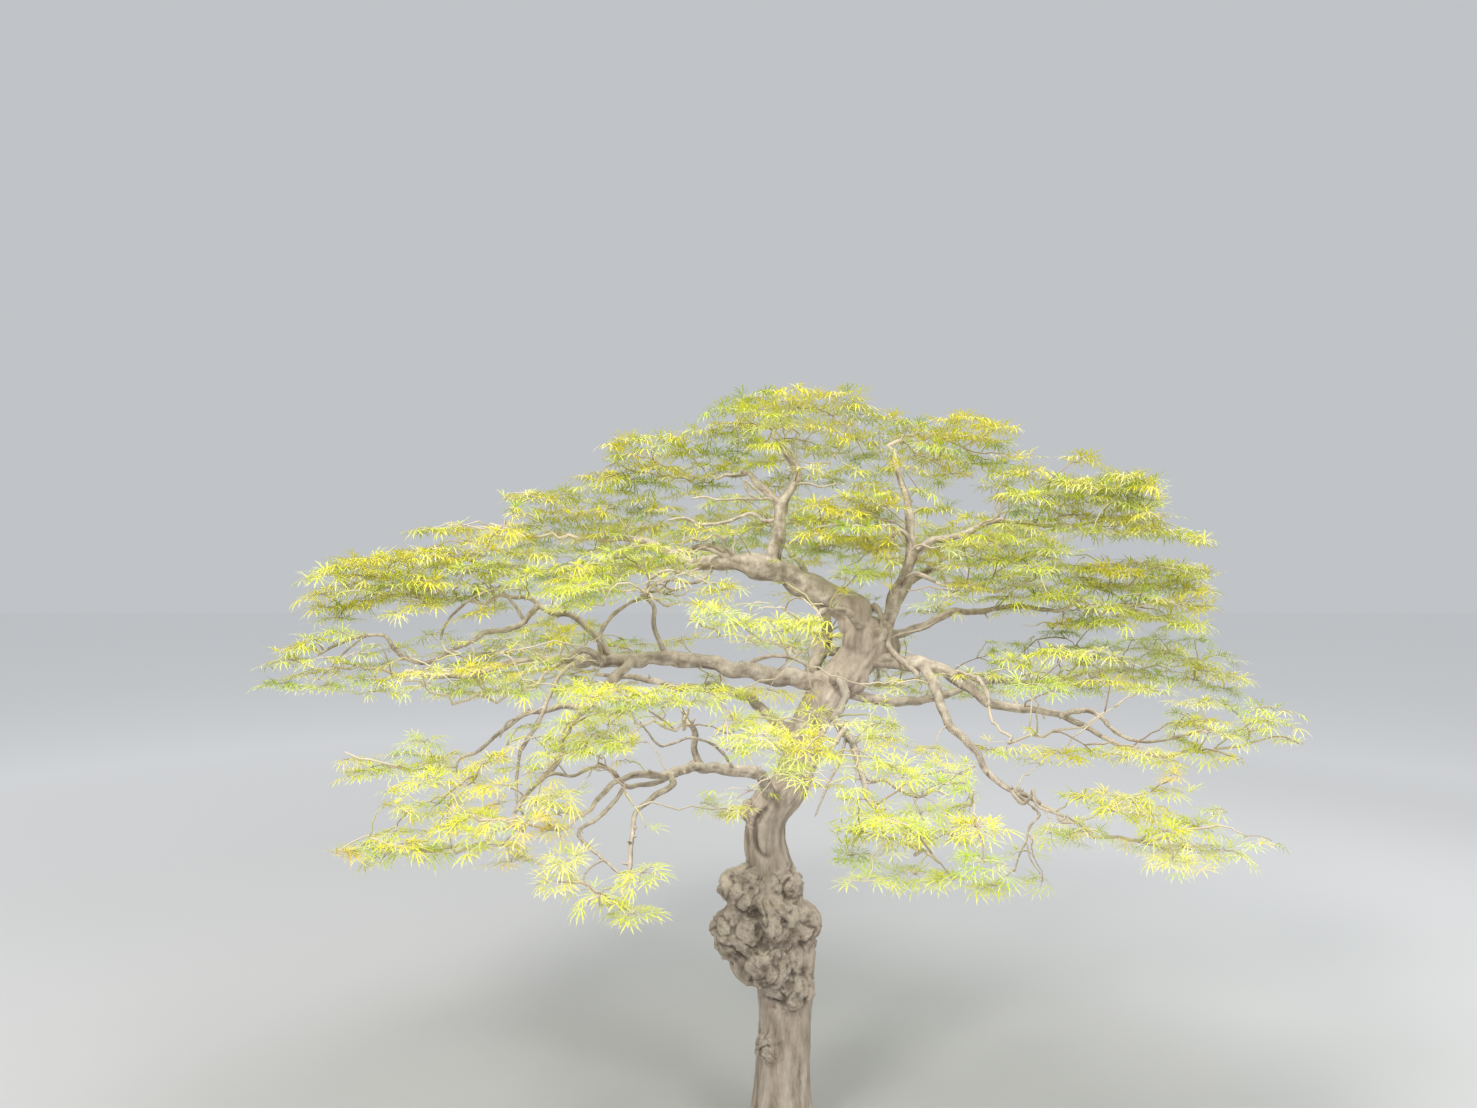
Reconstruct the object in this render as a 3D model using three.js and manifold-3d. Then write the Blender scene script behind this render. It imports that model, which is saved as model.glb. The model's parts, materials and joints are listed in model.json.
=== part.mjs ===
// A garden maple with thread-like leaves, pruned into a wide umbrella of flat pads of foliage.
// Millimetres, +Z up, -Y towards the viewer and +X to the viewer's right. The origin is the middle of
// the flat cut under the trunk, at ground level.
import * as THREE from "three";
import { mergeVertices } from "three/addons/utils/BufferGeometryUtils.js";
import Module from "manifold-3d";

const wasm = await Module();
wasm.setup();

// Driving dimensions
const TRUNK_TOP = 1580; // height of the trunk's last fork
const TOUCH = 0.3; // clearance between pieces that meet end to end
const CUT = 0.45; // and where a limb is cut to fit the side of another
const CLEAR = 5; // twigs and sprays keep this far from the limbs
const EVEN = 0.02; // facets flatter than this are joined
const TWIGS = 11; // twigs tried in each mass, beside its stem
const MOST_SPRAYS = 6; // sprays in each mass
const SPRAY = 185; // length of a spray's middle lobe

// The trunk's middle line and half thickness, from the ground to the fork
const TRUNK = [
  { height: 0, right: 0, back: 0, radius: 84 },
  { height: 180, right: 4, back: 0, radius: 80 },
  { height: 345, right: 9, back: 2, radius: 79 },
  { height: 560, right: 6, back: 4, radius: 92 },
  { height: 750, right: -22, back: 2, radius: 78 },
  { height: 905, right: -50, back: -2, radius: 61 },
  { height: 985, right: -42, back: -4, radius: 62 },
  { height: 1060, right: 18, back: -2, radius: 59 },
  { height: 1160, right: 62, back: 4, radius: 56 },
  { height: 1270, right: 96, back: 10, radius: 54 },
  { height: 1370, right: 162, back: 20, radius: 57 },
  { height: 1450, right: 236, back: 34, radius: 60 },
  { height: 1525, right: 282, back: 44, radius: 57 },
  { height: TRUNK_TOP, right: 268, back: 54, radius: 50 },
];
const TRUNK_SIDES = 12;
const TRUNK_STEPS = 20;
const FLARE = { spread: 34, rise: 70, toes: 5, lobing: 0.4 }; // the root flare's lobes at the ground
const FLUTE = 0.05; // depth of the trunk's long flutes, as a share of its radius

// Burls: the heading and height of each lump, how far out its middle stands from the trunk's line, and its size
const BURLS = [
  { heading: 194, height: 636, out: 118, size: 92 },
  { heading: 192, height: 758, out: 92, size: 74 },
  { heading: 236, height: 548, out: 84, size: 78 },
  { heading: 266, height: 680, out: 60, size: 70 },
  { heading: 330, height: 768, out: 50, size: 54 },
  { heading: 338, height: 640, out: 72, size: 56 },
  { heading: 292, height: 470, out: 44, size: 68 },
  { heading: 62, height: 560, out: 62, size: 74 },
  { heading: 122, height: 690, out: 68, size: 76 },
  { heading: 214, height: 292, out: 62, size: 40 },
  { heading: 170, height: 985, out: 34, size: 46 },
];
const BURL_DETAIL = 1;
const BURL_KNOBS = 0.13; // unevenness of a burl, as a share of its size

// Each bough leaves its parent at a share of the parent's way, and ends where it enters its own mass of foliage.
// arch lifts the middle of its way and sway moves it sideways; thick and thin are its half thicknesses.
const LIMBS = [
  { name: "leader_left", from: "trunk", at: 1, arch: 44, sway: -70, thick: 47, thin: 9 },
  { name: "leader_right", from: "trunk", at: 0.92, arch: -70, sway: 110, thick: 30, thin: 8 },
  { name: "bough_left_main", from: "trunk", at: 0.875, arch: 26, sway: 26, thick: 31, thin: 7 },
  { name: "bough_right_front", from: "trunk", at: 0.925, arch: 40, sway: 20, thick: 25, thin: 7 },
  { name: "bough_right_back", from: "trunk", at: 0.86, arch: -24, sway: 30, thick: 18, thin: 6 },
  { name: "bough_front", from: "trunk", at: 0.89, arch: 60, sway: 90, thick: 16, thin: 6 },
  { name: "bough_front_left", from: "trunk", at: 0.645, arch: 124, sway: -40, thick: 21, thin: 6 },
  { name: "bough_back", from: "trunk", at: 0.83, arch: 20, sway: 40, thick: 25, thin: 7 },
  { name: "bough_low_back_left", from: "trunk", at: 0.76, arch: 70, sway: -30, thick: 19, thin: 7 },
  { name: "bough_low_back_right", from: "bough_back", at: 0.3, arch: 60, sway: 60, thick: 17, thin: 6 },
  { name: "bough_back_left", from: "leader_left", at: 0.42, arch: 40, sway: 40, thick: 17, thin: 6 },
  { name: "bough_back_right", from: "leader_right", at: 0.42, arch: 30, sway: 30, thick: 16, thin: 6 },
  { name: "bough_top", from: "leader_left", at: 0.36, arch: 30, sway: 46, thick: 24, thin: 7 },
  { name: "bough_top_left", from: "bough_top", at: 0.42, arch: 40, sway: -20, thick: 13, thin: 5 },
  { name: "bough_upper_right", from: "leader_right", at: 0.6, arch: 40, sway: -20, thick: 14, thin: 6 },
  { name: "bough_right_shoulder", from: "leader_right", at: 0.24, arch: 20, sway: -70, thick: 15, thin: 6 },
  { name: "bough_right_centre", from: "leader_right", at: 0.46, arch: 36, sway: 30, thick: 12, thin: 5 },
  { name: "bough_centre_up", from: "leader_right", at: 0.62, arch: 46, sway: -20, thick: 10, thin: 5 },
  { name: "bough_centre", from: "trunk", at: 0.97, arch: 60, sway: 40, thick: 13, thin: 5 },
  { name: "bough_right_low", from: "bough_right_front", at: 0.3, arch: -10, sway: 60, thick: 17, thin: 6 },
  { name: "bough_right_upper", from: "bough_right_front", at: 0.42, arch: 40, sway: -20, thick: 12, thin: 5 },
  { name: "bough_front_fork", from: "bough_front", at: 0.62, arch: 24, sway: -20, thick: 10, thin: 5 },
  { name: "bough_front_left_up", from: "bough_front_left", at: 0.5, arch: 56, sway: 20, thick: 10, thin: 5 },
  { name: "bough_front_hanging", from: "bough_front_left", at: 0.66, arch: 44, sway: 10, thick: 9, thin: 5 },
  { name: "bough_left_mid", from: "bough_left_main", at: 0.58, arch: 40, sway: -10, thick: 12, thin: 5 },
  { name: "bough_left_low", from: "bough_left_main", at: 0.5, arch: 50, sway: -26, thick: 15, thin: 6 },
  { name: "bough_left_outer", from: "bough_left_low", at: 0.4, arch: 40, sway: 20, thick: 10, thin: 5 },
  { name: "bough_left_upper", from: "bough_left_main", at: 0.55, arch: 50, sway: 30, thick: 13, thin: 6 },
  { name: "bough_centre_left", from: "bough_left_main", at: 0.42, arch: 50, sway: 40, thick: 9, thin: 5 },
];

// The mass of foliage on each bough. Its middle is a heading (0 right, 90 back, 180 left, 270 towards the viewer), a
// distance out from the trunk's foot and a height. Its half sizes are along that heading, across it and upwards.
const MASSES = {
  leader_left: { name: "foliage_left_shoulder", middle: [161, 900, 1890], half: [400, 400, 140] },
  leader_right: { name: "foliage_top_right", middle: [27, 650, 2140], half: [355, 320, 135] },
  bough_left_main: { name: "foliage_left_tip", middle: [193, 1262, 1480], half: [250, 295, 105] },
  bough_right_front: { name: "foliage_right_tip", middle: [341, 1210, 1305], half: [320, 295, 100] },
  bough_right_back: { name: "foliage_right_middle", middle: [8, 1190, 1432], half: [315, 340, 110] },
  bough_front: { name: "foliage_front_right_low", middle: [284, 1040, 1190], half: [290, 365, 130] },
  bough_front_left: { name: "foliage_front_left", middle: [231, 1026, 1205], half: [310, 340, 125] },
  bough_back: { name: "foliage_back", middle: [92, 850, 1885], half: [380, 415, 155] },
  bough_low_back_left: { name: "foliage_low_back_left", middle: [140, 1090, 1410], half: [350, 515, 140] },
  bough_low_back_right: { name: "foliage_low_back_right", middle: [62, 1090, 1380], half: [350, 525, 140] },
  bough_back_left: { name: "foliage_back_left", middle: [130, 930, 1800], half: [380, 415, 150] },
  bough_back_right: { name: "foliage_back_right", middle: [46, 990, 1800], half: [380, 415, 150] },
  bough_top: { name: "foliage_crown_top", middle: [81, 250, 2205], half: [305, 365, 150] },
  bough_top_left: { name: "foliage_top_left", middle: [142, 500, 2085], half: [305, 320, 125] },
  bough_upper_right: { name: "foliage_upper_right", middle: [5, 1030, 1935], half: [330, 335, 140] },
  bough_right_shoulder: { name: "foliage_right_shoulder", middle: [359, 1110, 1665], half: [360, 350, 135] },
  bough_right_centre: { name: "foliage_right_centre", middle: [350, 660, 1745], half: [295, 315, 125] },
  bough_centre_up: { name: "foliage_centre_upper", middle: [345, 240, 1870], half: [245, 270, 110] },
  bough_centre: { name: "foliage_centre", middle: [266, 640, 1600], half: [275, 305, 110] },
  bough_right_low: { name: "foliage_right_low", middle: [324, 1100, 1150], half: [330, 330, 120] },
  bough_right_upper: { name: "foliage_right_front", middle: [322, 880, 1415], half: [290, 310, 165] },
  bough_front_fork: { name: "foliage_front_centre", middle: [270, 960, 1340], half: [230, 255, 105] },
  bough_front_left_up: { name: "foliage_front_left_upper", middle: [245, 790, 1405], half: [280, 320, 105] },
  bough_front_hanging: { name: "foliage_front_hanging", middle: [249, 1150, 1100], half: [215, 230, 105] },
  bough_left_mid: { name: "foliage_left_middle", middle: [211, 1010, 1480], half: [305, 305, 105] },
  bough_left_low: { name: "foliage_left_low", middle: [216, 1120, 1125], half: [300, 290, 105] },
  bough_left_outer: { name: "foliage_left_hanging", middle: [200, 1140, 1262], half: [275, 260, 95] },
  bough_left_upper: { name: "foliage_left_upper", middle: [180, 1120, 1700], half: [355, 365, 125] },
  bough_centre_left: { name: "foliage_centre_left", middle: [216, 510, 1715], half: [295, 315, 110] },
};

// How a limb grows
const RINGS = { gap: 115, fewest: 4, most: 10 }; // the rings of a limb's solid
const STOUT = 20; // limbs with a larger half thickness than this are rounder
const STOUT_SIDES = 7;
const THIN_SIDES = 5;
const WAVES = [1, 2, 3]; // orders of the waves in a limb's line
const CROOK = 0.05; // depth of the slowest wave, as a share of the limb's length
const CROOK_TURNS = 0.85; // turns of the slowest wave along the limb
const CROOK_RISE = 0.7; // the waves' height, as a share of their width
const TAPER = 1.15; // how a limb's thickness falls: 1 evenly, more than 1 sooner
const COLLAR = { swell: 0.45, length: 2.6 }; // swelling at the parent, as shares of the limb's half thickness
const ENTRY = { short: 0.78, sink: 0.42, most: 0.8 }; // how far short of its mass's middle, and below, it ends

// How a stem and its twigs grow
const STEM = { reach: 0.42, sink: 0.12, straight: 0.4, steps: 4 }; // shares of the mass's half sizes and of the way
const TWIG = { thick: 3.5, thin: 2.6, root: 1, shortest: 30, steps: 2 };
const TWIG_BEND = { at: 0.45, rise: 0.16, onward: 0.12 }; // where and how far a twig bows, as shares of its length
const STRAIGHTNESS = 1.7; // how much a twig prefers to run on in the way of what carries it
const SPREAD = [0.7548776662466927, 0.5698402909980532]; // steps that spread points evenly over an area
const LAYERS = { ring: 0.5, gap: 0.36, lift: 0.2 }; // two layers of twigs' ends, outside the inner ring
const PAD_DROOP = 0.5; // how far a mass hangs at its rim, as a share of its half height
const RIM_ROOM = { spray: 0.8, least: 0.3 }; // twigs end this short of the rim, to leave room for a spray
const OWN_SIDE = 0.035; // how clearly nearer to its own mass than to any other each point of a mass lies

// A spray of leaves
const LOBES = [-102, -68, -34, 0, 34, 68, 102]; // headings of a spray's lobes
const LOBE_LENGTHS = [0.62, 0.84, 0.95, 1, 0.95, 0.84, 0.62];
const NOTCH = 0.27; // how far out the notches between lobes lie, as a share of the spray
const STALK = 30; // a spray's stalk, from its twig to its hub
const STALK_SINK = 4; // and how far it is sunk into the twig's tip
const SPRAY_THICK = 6;
const SPRAY_DROOP = 0.4; // fall of a lobe's tip, as a share of the spray
const SPRAY_SIZES = [1, 0.82, 0.66]; // sizes tried for a spray, largest first
const SPRAY_HEART = 0.45; // how far from its hub a spray's middle lies, as a share of its size
const SPRAY_SLOPE = { lowest: -0.25, highest: 0.1 };
const TIP_TURN = 0.3; // a spray on a tip turns at most half of this, in radians, from its twig's way
const SIDE_TURN = { least: 1.1, more: 0.4 }; // and a spray on a side this much
const SPACING = 0.54; // sprays in a layer lie this share of their two sizes apart
const LAYER = 55; // sprays whose heights differ by more than this are in different layers
const TWIG_GAP = 3; // a spray keeps this far from twigs other than its own

const UP = new THREE.Vector3(0, 0, 1);
const radians = THREE.MathUtils.degToRad;
const mix = THREE.MathUtils.lerp;

// A seeded stream of numbers from 0 to 1
function dice(seed) {
  const modulus = 2147483647;
  let state = (seed * 7919 + 12345) % modulus;
  return () => {
    state = (state * 48271) % modulus;
    return state / modulus;
  };
}

// The point at a heading, a distance out from the trunk's foot and a height
function place(heading, out, height) {
  const turn = radians(heading);
  return new THREE.Vector3(out * Math.cos(turn), out * Math.sin(turn), height);
}

// The closest distance between the segments a-b and c-d
function segmentGap(a, b, c, d) {
  const u = b.clone().sub(a);
  const v = d.clone().sub(c);
  const w = a.clone().sub(c);
  const uu = u.dot(u);
  const uv = u.dot(v);
  const vv = v.dot(v);
  const uw = u.dot(w);
  const vw = v.dot(w);
  const span = uu * vv - uv * uv;
  const clamp = (x) => Math.min(1, Math.max(0, x));
  let s = span > 1e-9 ? clamp((uv * vw - vv * uw) / span) : 0;
  const t = clamp((uv * s + vw) / vv);
  s = clamp((uv * t - uw) / uu);
  return a.clone().addScaledVector(u, s).distanceTo(c.clone().addScaledVector(v, t));
}

// A closed three.js geometry as a solid that can be cut and joined
function solidFrom(geometry) {
  const bare = new THREE.BufferGeometry().setAttribute("position", geometry.getAttribute("position"));
  if (geometry.index) bare.setIndex(geometry.index);
  const merged = mergeVertices(bare, 1e-4);
  return new wasm.Manifold(
    new wasm.Mesh({
      numProp: 3,
      vertProperties: Float32Array.from(merged.attributes.position.array),
      triVerts: Uint32Array.from(merged.index.array),
    }),
  );
}

// The largest piece of a solid as a three.js geometry, without loose scraps or sealed hollows
function geometryFrom(solid) {
  const pieces = solid.simplify(EVEN).decompose().sort((one, other) => other.volume() - one.volume());
  const mesh = pieces[0].getMesh();
  return new THREE.BufferGeometry()
    .setAttribute("position", new THREE.BufferAttribute(mesh.vertProperties, 3))
    .setIndex(new THREE.BufferAttribute(mesh.triVerts, 1));
}

// A cylinder bent along a way of points. radius(step, turn) is its half thickness there, and its two end faces are
// square to firstAim and lastAim, or to its way where these aren't given.
function bentTube(points, radius, sides, firstAim, lastAim) {
  const steps = points.length - 1;
  const aims = points.map((_, i) =>
    points[Math.min(i + 1, steps)].clone().sub(points[Math.max(i - 1, 0)]).normalize(),
  );
  if (firstAim) aims[0].copy(firstAim);
  if (lastAim) aims[steps].copy(lastAim);
  const normals = [];
  aims.forEach((aim, i) => {
    const guide = i ? normals[i - 1] : new THREE.Vector3(aim.z, aim.x, aim.y).cross(aim);
    normals.push(guide.clone().addScaledVector(aim, -guide.dot(aim)).normalize());
  });
  const geometry = new THREE.CylinderGeometry(1, 1, 1, sides, steps);
  const position = geometry.getAttribute("position");
  for (let i = 0; i < position.count; i++) {
    const step = Math.round((position.getY(i) + 0.5) * steps);
    const [x, z] = [position.getX(i), position.getZ(i)];
    const r = radius(step, Math.atan2(x, z));
    const cross = normals[step].clone().cross(aims[step]);
    const point = points[step].clone().addScaledVector(normals[step], x * r).addScaledVector(cross, z * r);
    position.setXYZ(i, point.x, point.y, point.z);
  }
  return geometry;
}

// The trunk's middle line as a curve, and its half thickness at a share of its height
const trunkCurve = new THREE.CatmullRomCurve3(TRUNK.map((p) => new THREE.Vector3(p.right, p.back, p.height)));
function trunkRow(share) {
  const height = share * TRUNK_TOP;
  const next = Math.max(1, TRUNK.findIndex((p) => p.height >= height - 1e-6));
  const [low, high] = [TRUNK[next - 1], TRUNK[next]];
  return { index: next - 1, part: (height - low.height) / (high.height - low.height), low, high };
}
const trunk = {
  name: "trunk",
  point(share) {
    const { index, part } = trunkRow(share);
    return trunkCurve.getPoint((index + part) / (TRUNK.length - 1));
  },
  radius(share) {
    const { part, low, high } = trunkRow(share);
    return mix(low.radius, high.radius, part);
  },
};

// The direction in which a limb runs at a share of its way
function aimOf(limb, share) {
  const [back, on] = [Math.max(0, share - 0.01), Math.min(1, share + 0.01)];
  return limb.point(on).sub(limb.point(back)).normalize();
}

// The trunk's solid, with its root flare, flutes and burls, all a little fuller by extra
function trunkSolid(extra) {
  const points = [];
  for (let i = 0; i <= TRUNK_STEPS; i++) points.push(trunk.point(i / TRUNK_STEPS));
  points[TRUNK_STEPS].addScaledVector(aimOf(trunk, 1), extra);
  const radius = (step, turn) => {
    const share = step / TRUNK_STEPS;
    const toes = 1 + FLARE.lobing * Math.cos(FLARE.toes * turn);
    const flare = FLARE.spread * toes * Math.exp((-share * TRUNK_TOP) / FLARE.rise);
    const flutes = 1 + FLUTE * Math.sin(3 * turn + 5 * share) + 0.5 * FLUTE * Math.sin(7 * turn - 9 * share);
    return trunk.radius(share) * flutes + flare + extra;
  };
  const parts = [solidFrom(bentTube(points, radius, TRUNK_SIDES, UP, aimOf(trunk, 1)))];
  BURLS.forEach((burl, number) => {
    const lump = new THREE.IcosahedronGeometry(1, BURL_DETAIL);
    const middle = trunk.point(burl.height / TRUNK_TOP).add(place(burl.heading, burl.out, 0));
    const position = lump.getAttribute("position");
    for (let i = 0; i < position.count; i++) {
      const way = new THREE.Vector3().fromBufferAttribute(position, i);
      const knobs = Math.sin(4 * way.x + number) * Math.cos(5 * way.z - 2 * way.y + number);
      way.multiplyScalar(burl.size * (1 + BURL_KNOBS * knobs) + extra).add(middle);
      position.setXYZ(i, way.x, way.y, way.z);
    }
    parts.push(solidFrom(lump));
  });
  return wasm.Manifold.union(parts);
}

// A mass's own frame: its middle, its outward and crossing directions, and its half sizes
function massSpace(mass, seed) {
  const [heading, out, height] = mass.middle;
  const [along, across, up] = mass.half;
  const outward = place(heading, 1, 0);
  const aside = new THREE.Vector3(-outward.y, outward.x, 0);
  return { name: mass.name, seed, middle: place(heading, out, height), outward, aside, along, across, up };
}

// How far a mass reaches from its middle in a level direction
function reachOf(space, way) {
  return Math.abs(way.dot(space.outward)) * space.along + Math.abs(way.dot(space.aside)) * space.across;
}

// How far out in a mass a point lies: 0 in its middle, 1 at its skin. A mass is a flat pad with a full rim, domed so
// that its rim hangs.
function depthIn(space, point) {
  const offset = point.clone().sub(space.middle);
  const [out, across] = [offset.dot(space.outward) / space.along, offset.dot(space.aside) / space.across];
  const plan = out * out + across * across;
  const rise = offset.z / space.up + PAD_DROOP * plan;
  return (plan * plan + rise ** 4) ** 0.25;
}

// A limb's line from its parent to the point where it enters its mass, and its half thickness along it
function growLimb(row, seed, parent, space) {
  const start = parent.point(row.at);
  if (row.at === 1) start.addScaledVector(aimOf(parent, 1), TOUCH);
  const way = space.middle.clone().sub(start).setZ(0);
  const inward = way.clone().normalize();
  const reach = Math.min(reachOf(space, inward), ENTRY.most * way.length());
  const tip = space.middle.clone().addScaledVector(inward, -ENTRY.short * reach);
  tip.z -= ENTRY.sink * space.up;
  const side = new THREE.Vector3(inward.y, -inward.x, 0);
  const length = tip.distanceTo(start);
  const roll = dice(seed);
  const waves = WAVES.map((order) => ({ order, aside: roll() * 2 * Math.PI, above: roll() * 2 * Math.PI }));
  return {
    ...row,
    length,
    point(share) {
      const bow = 4 * share * (1 - share);
      const crook = CROOK * length * Math.sin(Math.PI * share);
      const point = start.clone().lerp(tip, share);
      point.addScaledVector(UP, row.arch * bow).addScaledVector(side, row.sway * bow);
      for (const wave of waves) {
        const turn = 2 * Math.PI * CROOK_TURNS * wave.order * share;
        point.addScaledVector(side, (crook / wave.order) * Math.sin(turn + wave.aside));
        point.addScaledVector(UP, ((CROOK_RISE * crook) / wave.order) * Math.sin(turn + wave.above));
      }
      return point;
    },
    radius(share) {
      const taper = mix(row.thin, row.thick, (1 - share) ** TAPER);
      const near = Math.max(0, 1 - (share * length) / (COLLAR.length * row.thick));
      return taper + COLLAR.swell * row.thick * near ** 2;
    },
  };
}

// The points along a limb at which its solid has rings
function limbPoints(limb) {
  const steps = Math.min(RINGS.most, Math.max(RINGS.fewest, Math.round(limb.length / RINGS.gap)));
  return Array.from({ length: steps + 1 }, (_, i) => limb.point(i / steps));
}

// A limb's tapering solid, fuller by extra
function limbSolid(limb, extra, parent) {
  const points = limbPoints(limb);
  const steps = points.length - 1;
  const onEnd = limb.at === 1;
  const sides = limb.thick > STOUT ? STOUT_SIDES : THIN_SIDES;
  const radius = (step) => (onEnd && step === 0 ? parent.radius(1) : limb.radius(step / steps)) + extra;
  return solidFrom(bentTube(points, radius, sides, onEnd ? aimOf(parent, 1) : null, aimOf(limb, 1)));
}

// The twigs of a mass by its seeded rule. The reach points, where twigs end, are spread evenly over flat layers. Each
// twig leaves the twig or stem point that lies handiest, and arches over to its reach point.
function growTwigs(limb, space, fits) {
  const aim = aimOf(limb, 1);
  const start = limb.point(1).addScaledVector(aim, TOUCH);
  const onward = space.middle.clone().sub(start).setZ(0).normalize();
  const end = space.middle.clone().addScaledVector(onward, STEM.reach * reachOf(space, onward));
  end.z -= STEM.sink * space.up;
  const bend = start.clone().addScaledVector(aim, STEM.straight * start.distanceTo(end));
  const stem = new THREE.QuadraticBezierCurve3(start, bend, end);
  const twigs = [{ curve: stem, thick: limb.thin, thin: TWIG.thick, steps: STEM.steps, stem: true, kept: true }];
  const joints = [];
  const addJoints = (twig, shares) => {
    for (const share of shares) {
      joints.push({ point: twig.curve.getPoint(share), aim: twig.curve.getTangent(share), twig });
    }
  };
  addJoints(twigs[0], [0.25, 0.5, 0.75, 1]);
  const roll = dice(space.seed);
  const shift = [roll(), roll()];
  const inset = (size) => Math.max(RIM_ROOM.least * size, size - RIM_ROOM.spray * SPRAY - STALK);
  for (let k = 0; k < TWIGS; k++) {
    const out = mix(LAYERS.ring, 1, (shift[0] + (k + 1) * SPREAD[0]) % 1);
    const turn = 2 * Math.PI * ((shift[1] + (k + 1) * SPREAD[1]) % 1);
    const reach = space.middle
      .clone()
      .addScaledVector(space.outward, out * Math.cos(turn) * inset(space.along))
      .addScaledVector(space.aside, out * Math.sin(turn) * inset(space.across));
    const layer = k % 2 ? LAYERS.gap : -LAYERS.gap;
    reach.z += space.up * (layer + LAYERS.lift - PAD_DROOP * out * out);
    let best = null;
    for (const joint of joints) {
      const gap = reach.clone().sub(joint.point);
      const cost = gap.length() * (STRAIGHTNESS - gap.clone().normalize().dot(joint.aim));
      if (!best || cost < best.cost) best = { cost, joint, gap };
    }
    const far = best.gap.length();
    const middle = best.joint.point.clone().addScaledVector(best.gap, TWIG_BEND.at);
    middle.addScaledVector(UP, TWIG_BEND.rise * far).addScaledVector(best.joint.aim, TWIG_BEND.onward * far);
    const curve = new THREE.QuadraticBezierCurve3(best.joint.point, middle, reach);
    const twig = { curve, thick: TWIG.thick, thin: TWIG.thin, steps: TWIG.steps, parent: best.joint.twig };
    if (far < TWIG.shortest || !fits(twig)) continue;
    addJoints(twig, [0.5]);
    twigs.push(twig);
  }
  return twigs;
}

// A spray of leaves as one thin blade with pointed lobes, from its stalk's root outwards along aim
function sprayGeometry(root, aim, size) {
  const hub = root.clone().addScaledVector(aim, STALK);
  const side = aim.clone().cross(UP).normalize();
  const over = side.clone().cross(aim).normalize();
  const spot = (heading, far, lift) =>
    hub
      .clone()
      .addScaledVector(aim, far * Math.cos(radians(heading)))
      .addScaledVector(side, far * Math.sin(radians(heading)))
      .addScaledVector(over, lift)
      .addScaledVector(UP, -SPRAY_DROOP * far * (far / size));
  const rim = [root.clone()];
  LOBES.forEach((heading, i) => {
    if (i) rim.push(spot((LOBES[i - 1] + heading) / 2, NOTCH * size, 0));
    rim.push(spot(heading, LOBE_LENGTHS[i] * size, 0));
  });
  const points = [...rim, spot(0, 0, SPRAY_THICK / 2), spot(0, 0, -SPRAY_THICK / 2)];
  const [above, below] = [rim.length, rim.length + 1];
  const faces = rim.flatMap((_, i) => {
    const next = (i + 1) % rim.length;
    return [above, next, i, below, i, next];
  });
  const geometry = new THREE.BufferGeometry().setFromPoints(points);
  geometry.setIndex(faces);
  return { geometry, tips: rim.slice(1) };
}

// The straight stretches between a limb's rings, with the larger half thickness of each
function bonesOf(limb) {
  const points = limb === trunk ? TRUNK.map((p) => trunk.point(p.height / TRUNK_TOP)) : limbPoints(limb);
  const last = points.length - 1;
  const radius = (i) => (limb === trunk ? TRUNK[i].radius : limb.radius(i / last));
  return points.slice(1).map((to, i) => ({ from: points[i], to, radius: Math.max(radius(i), radius(i + 1)) }));
}

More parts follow.
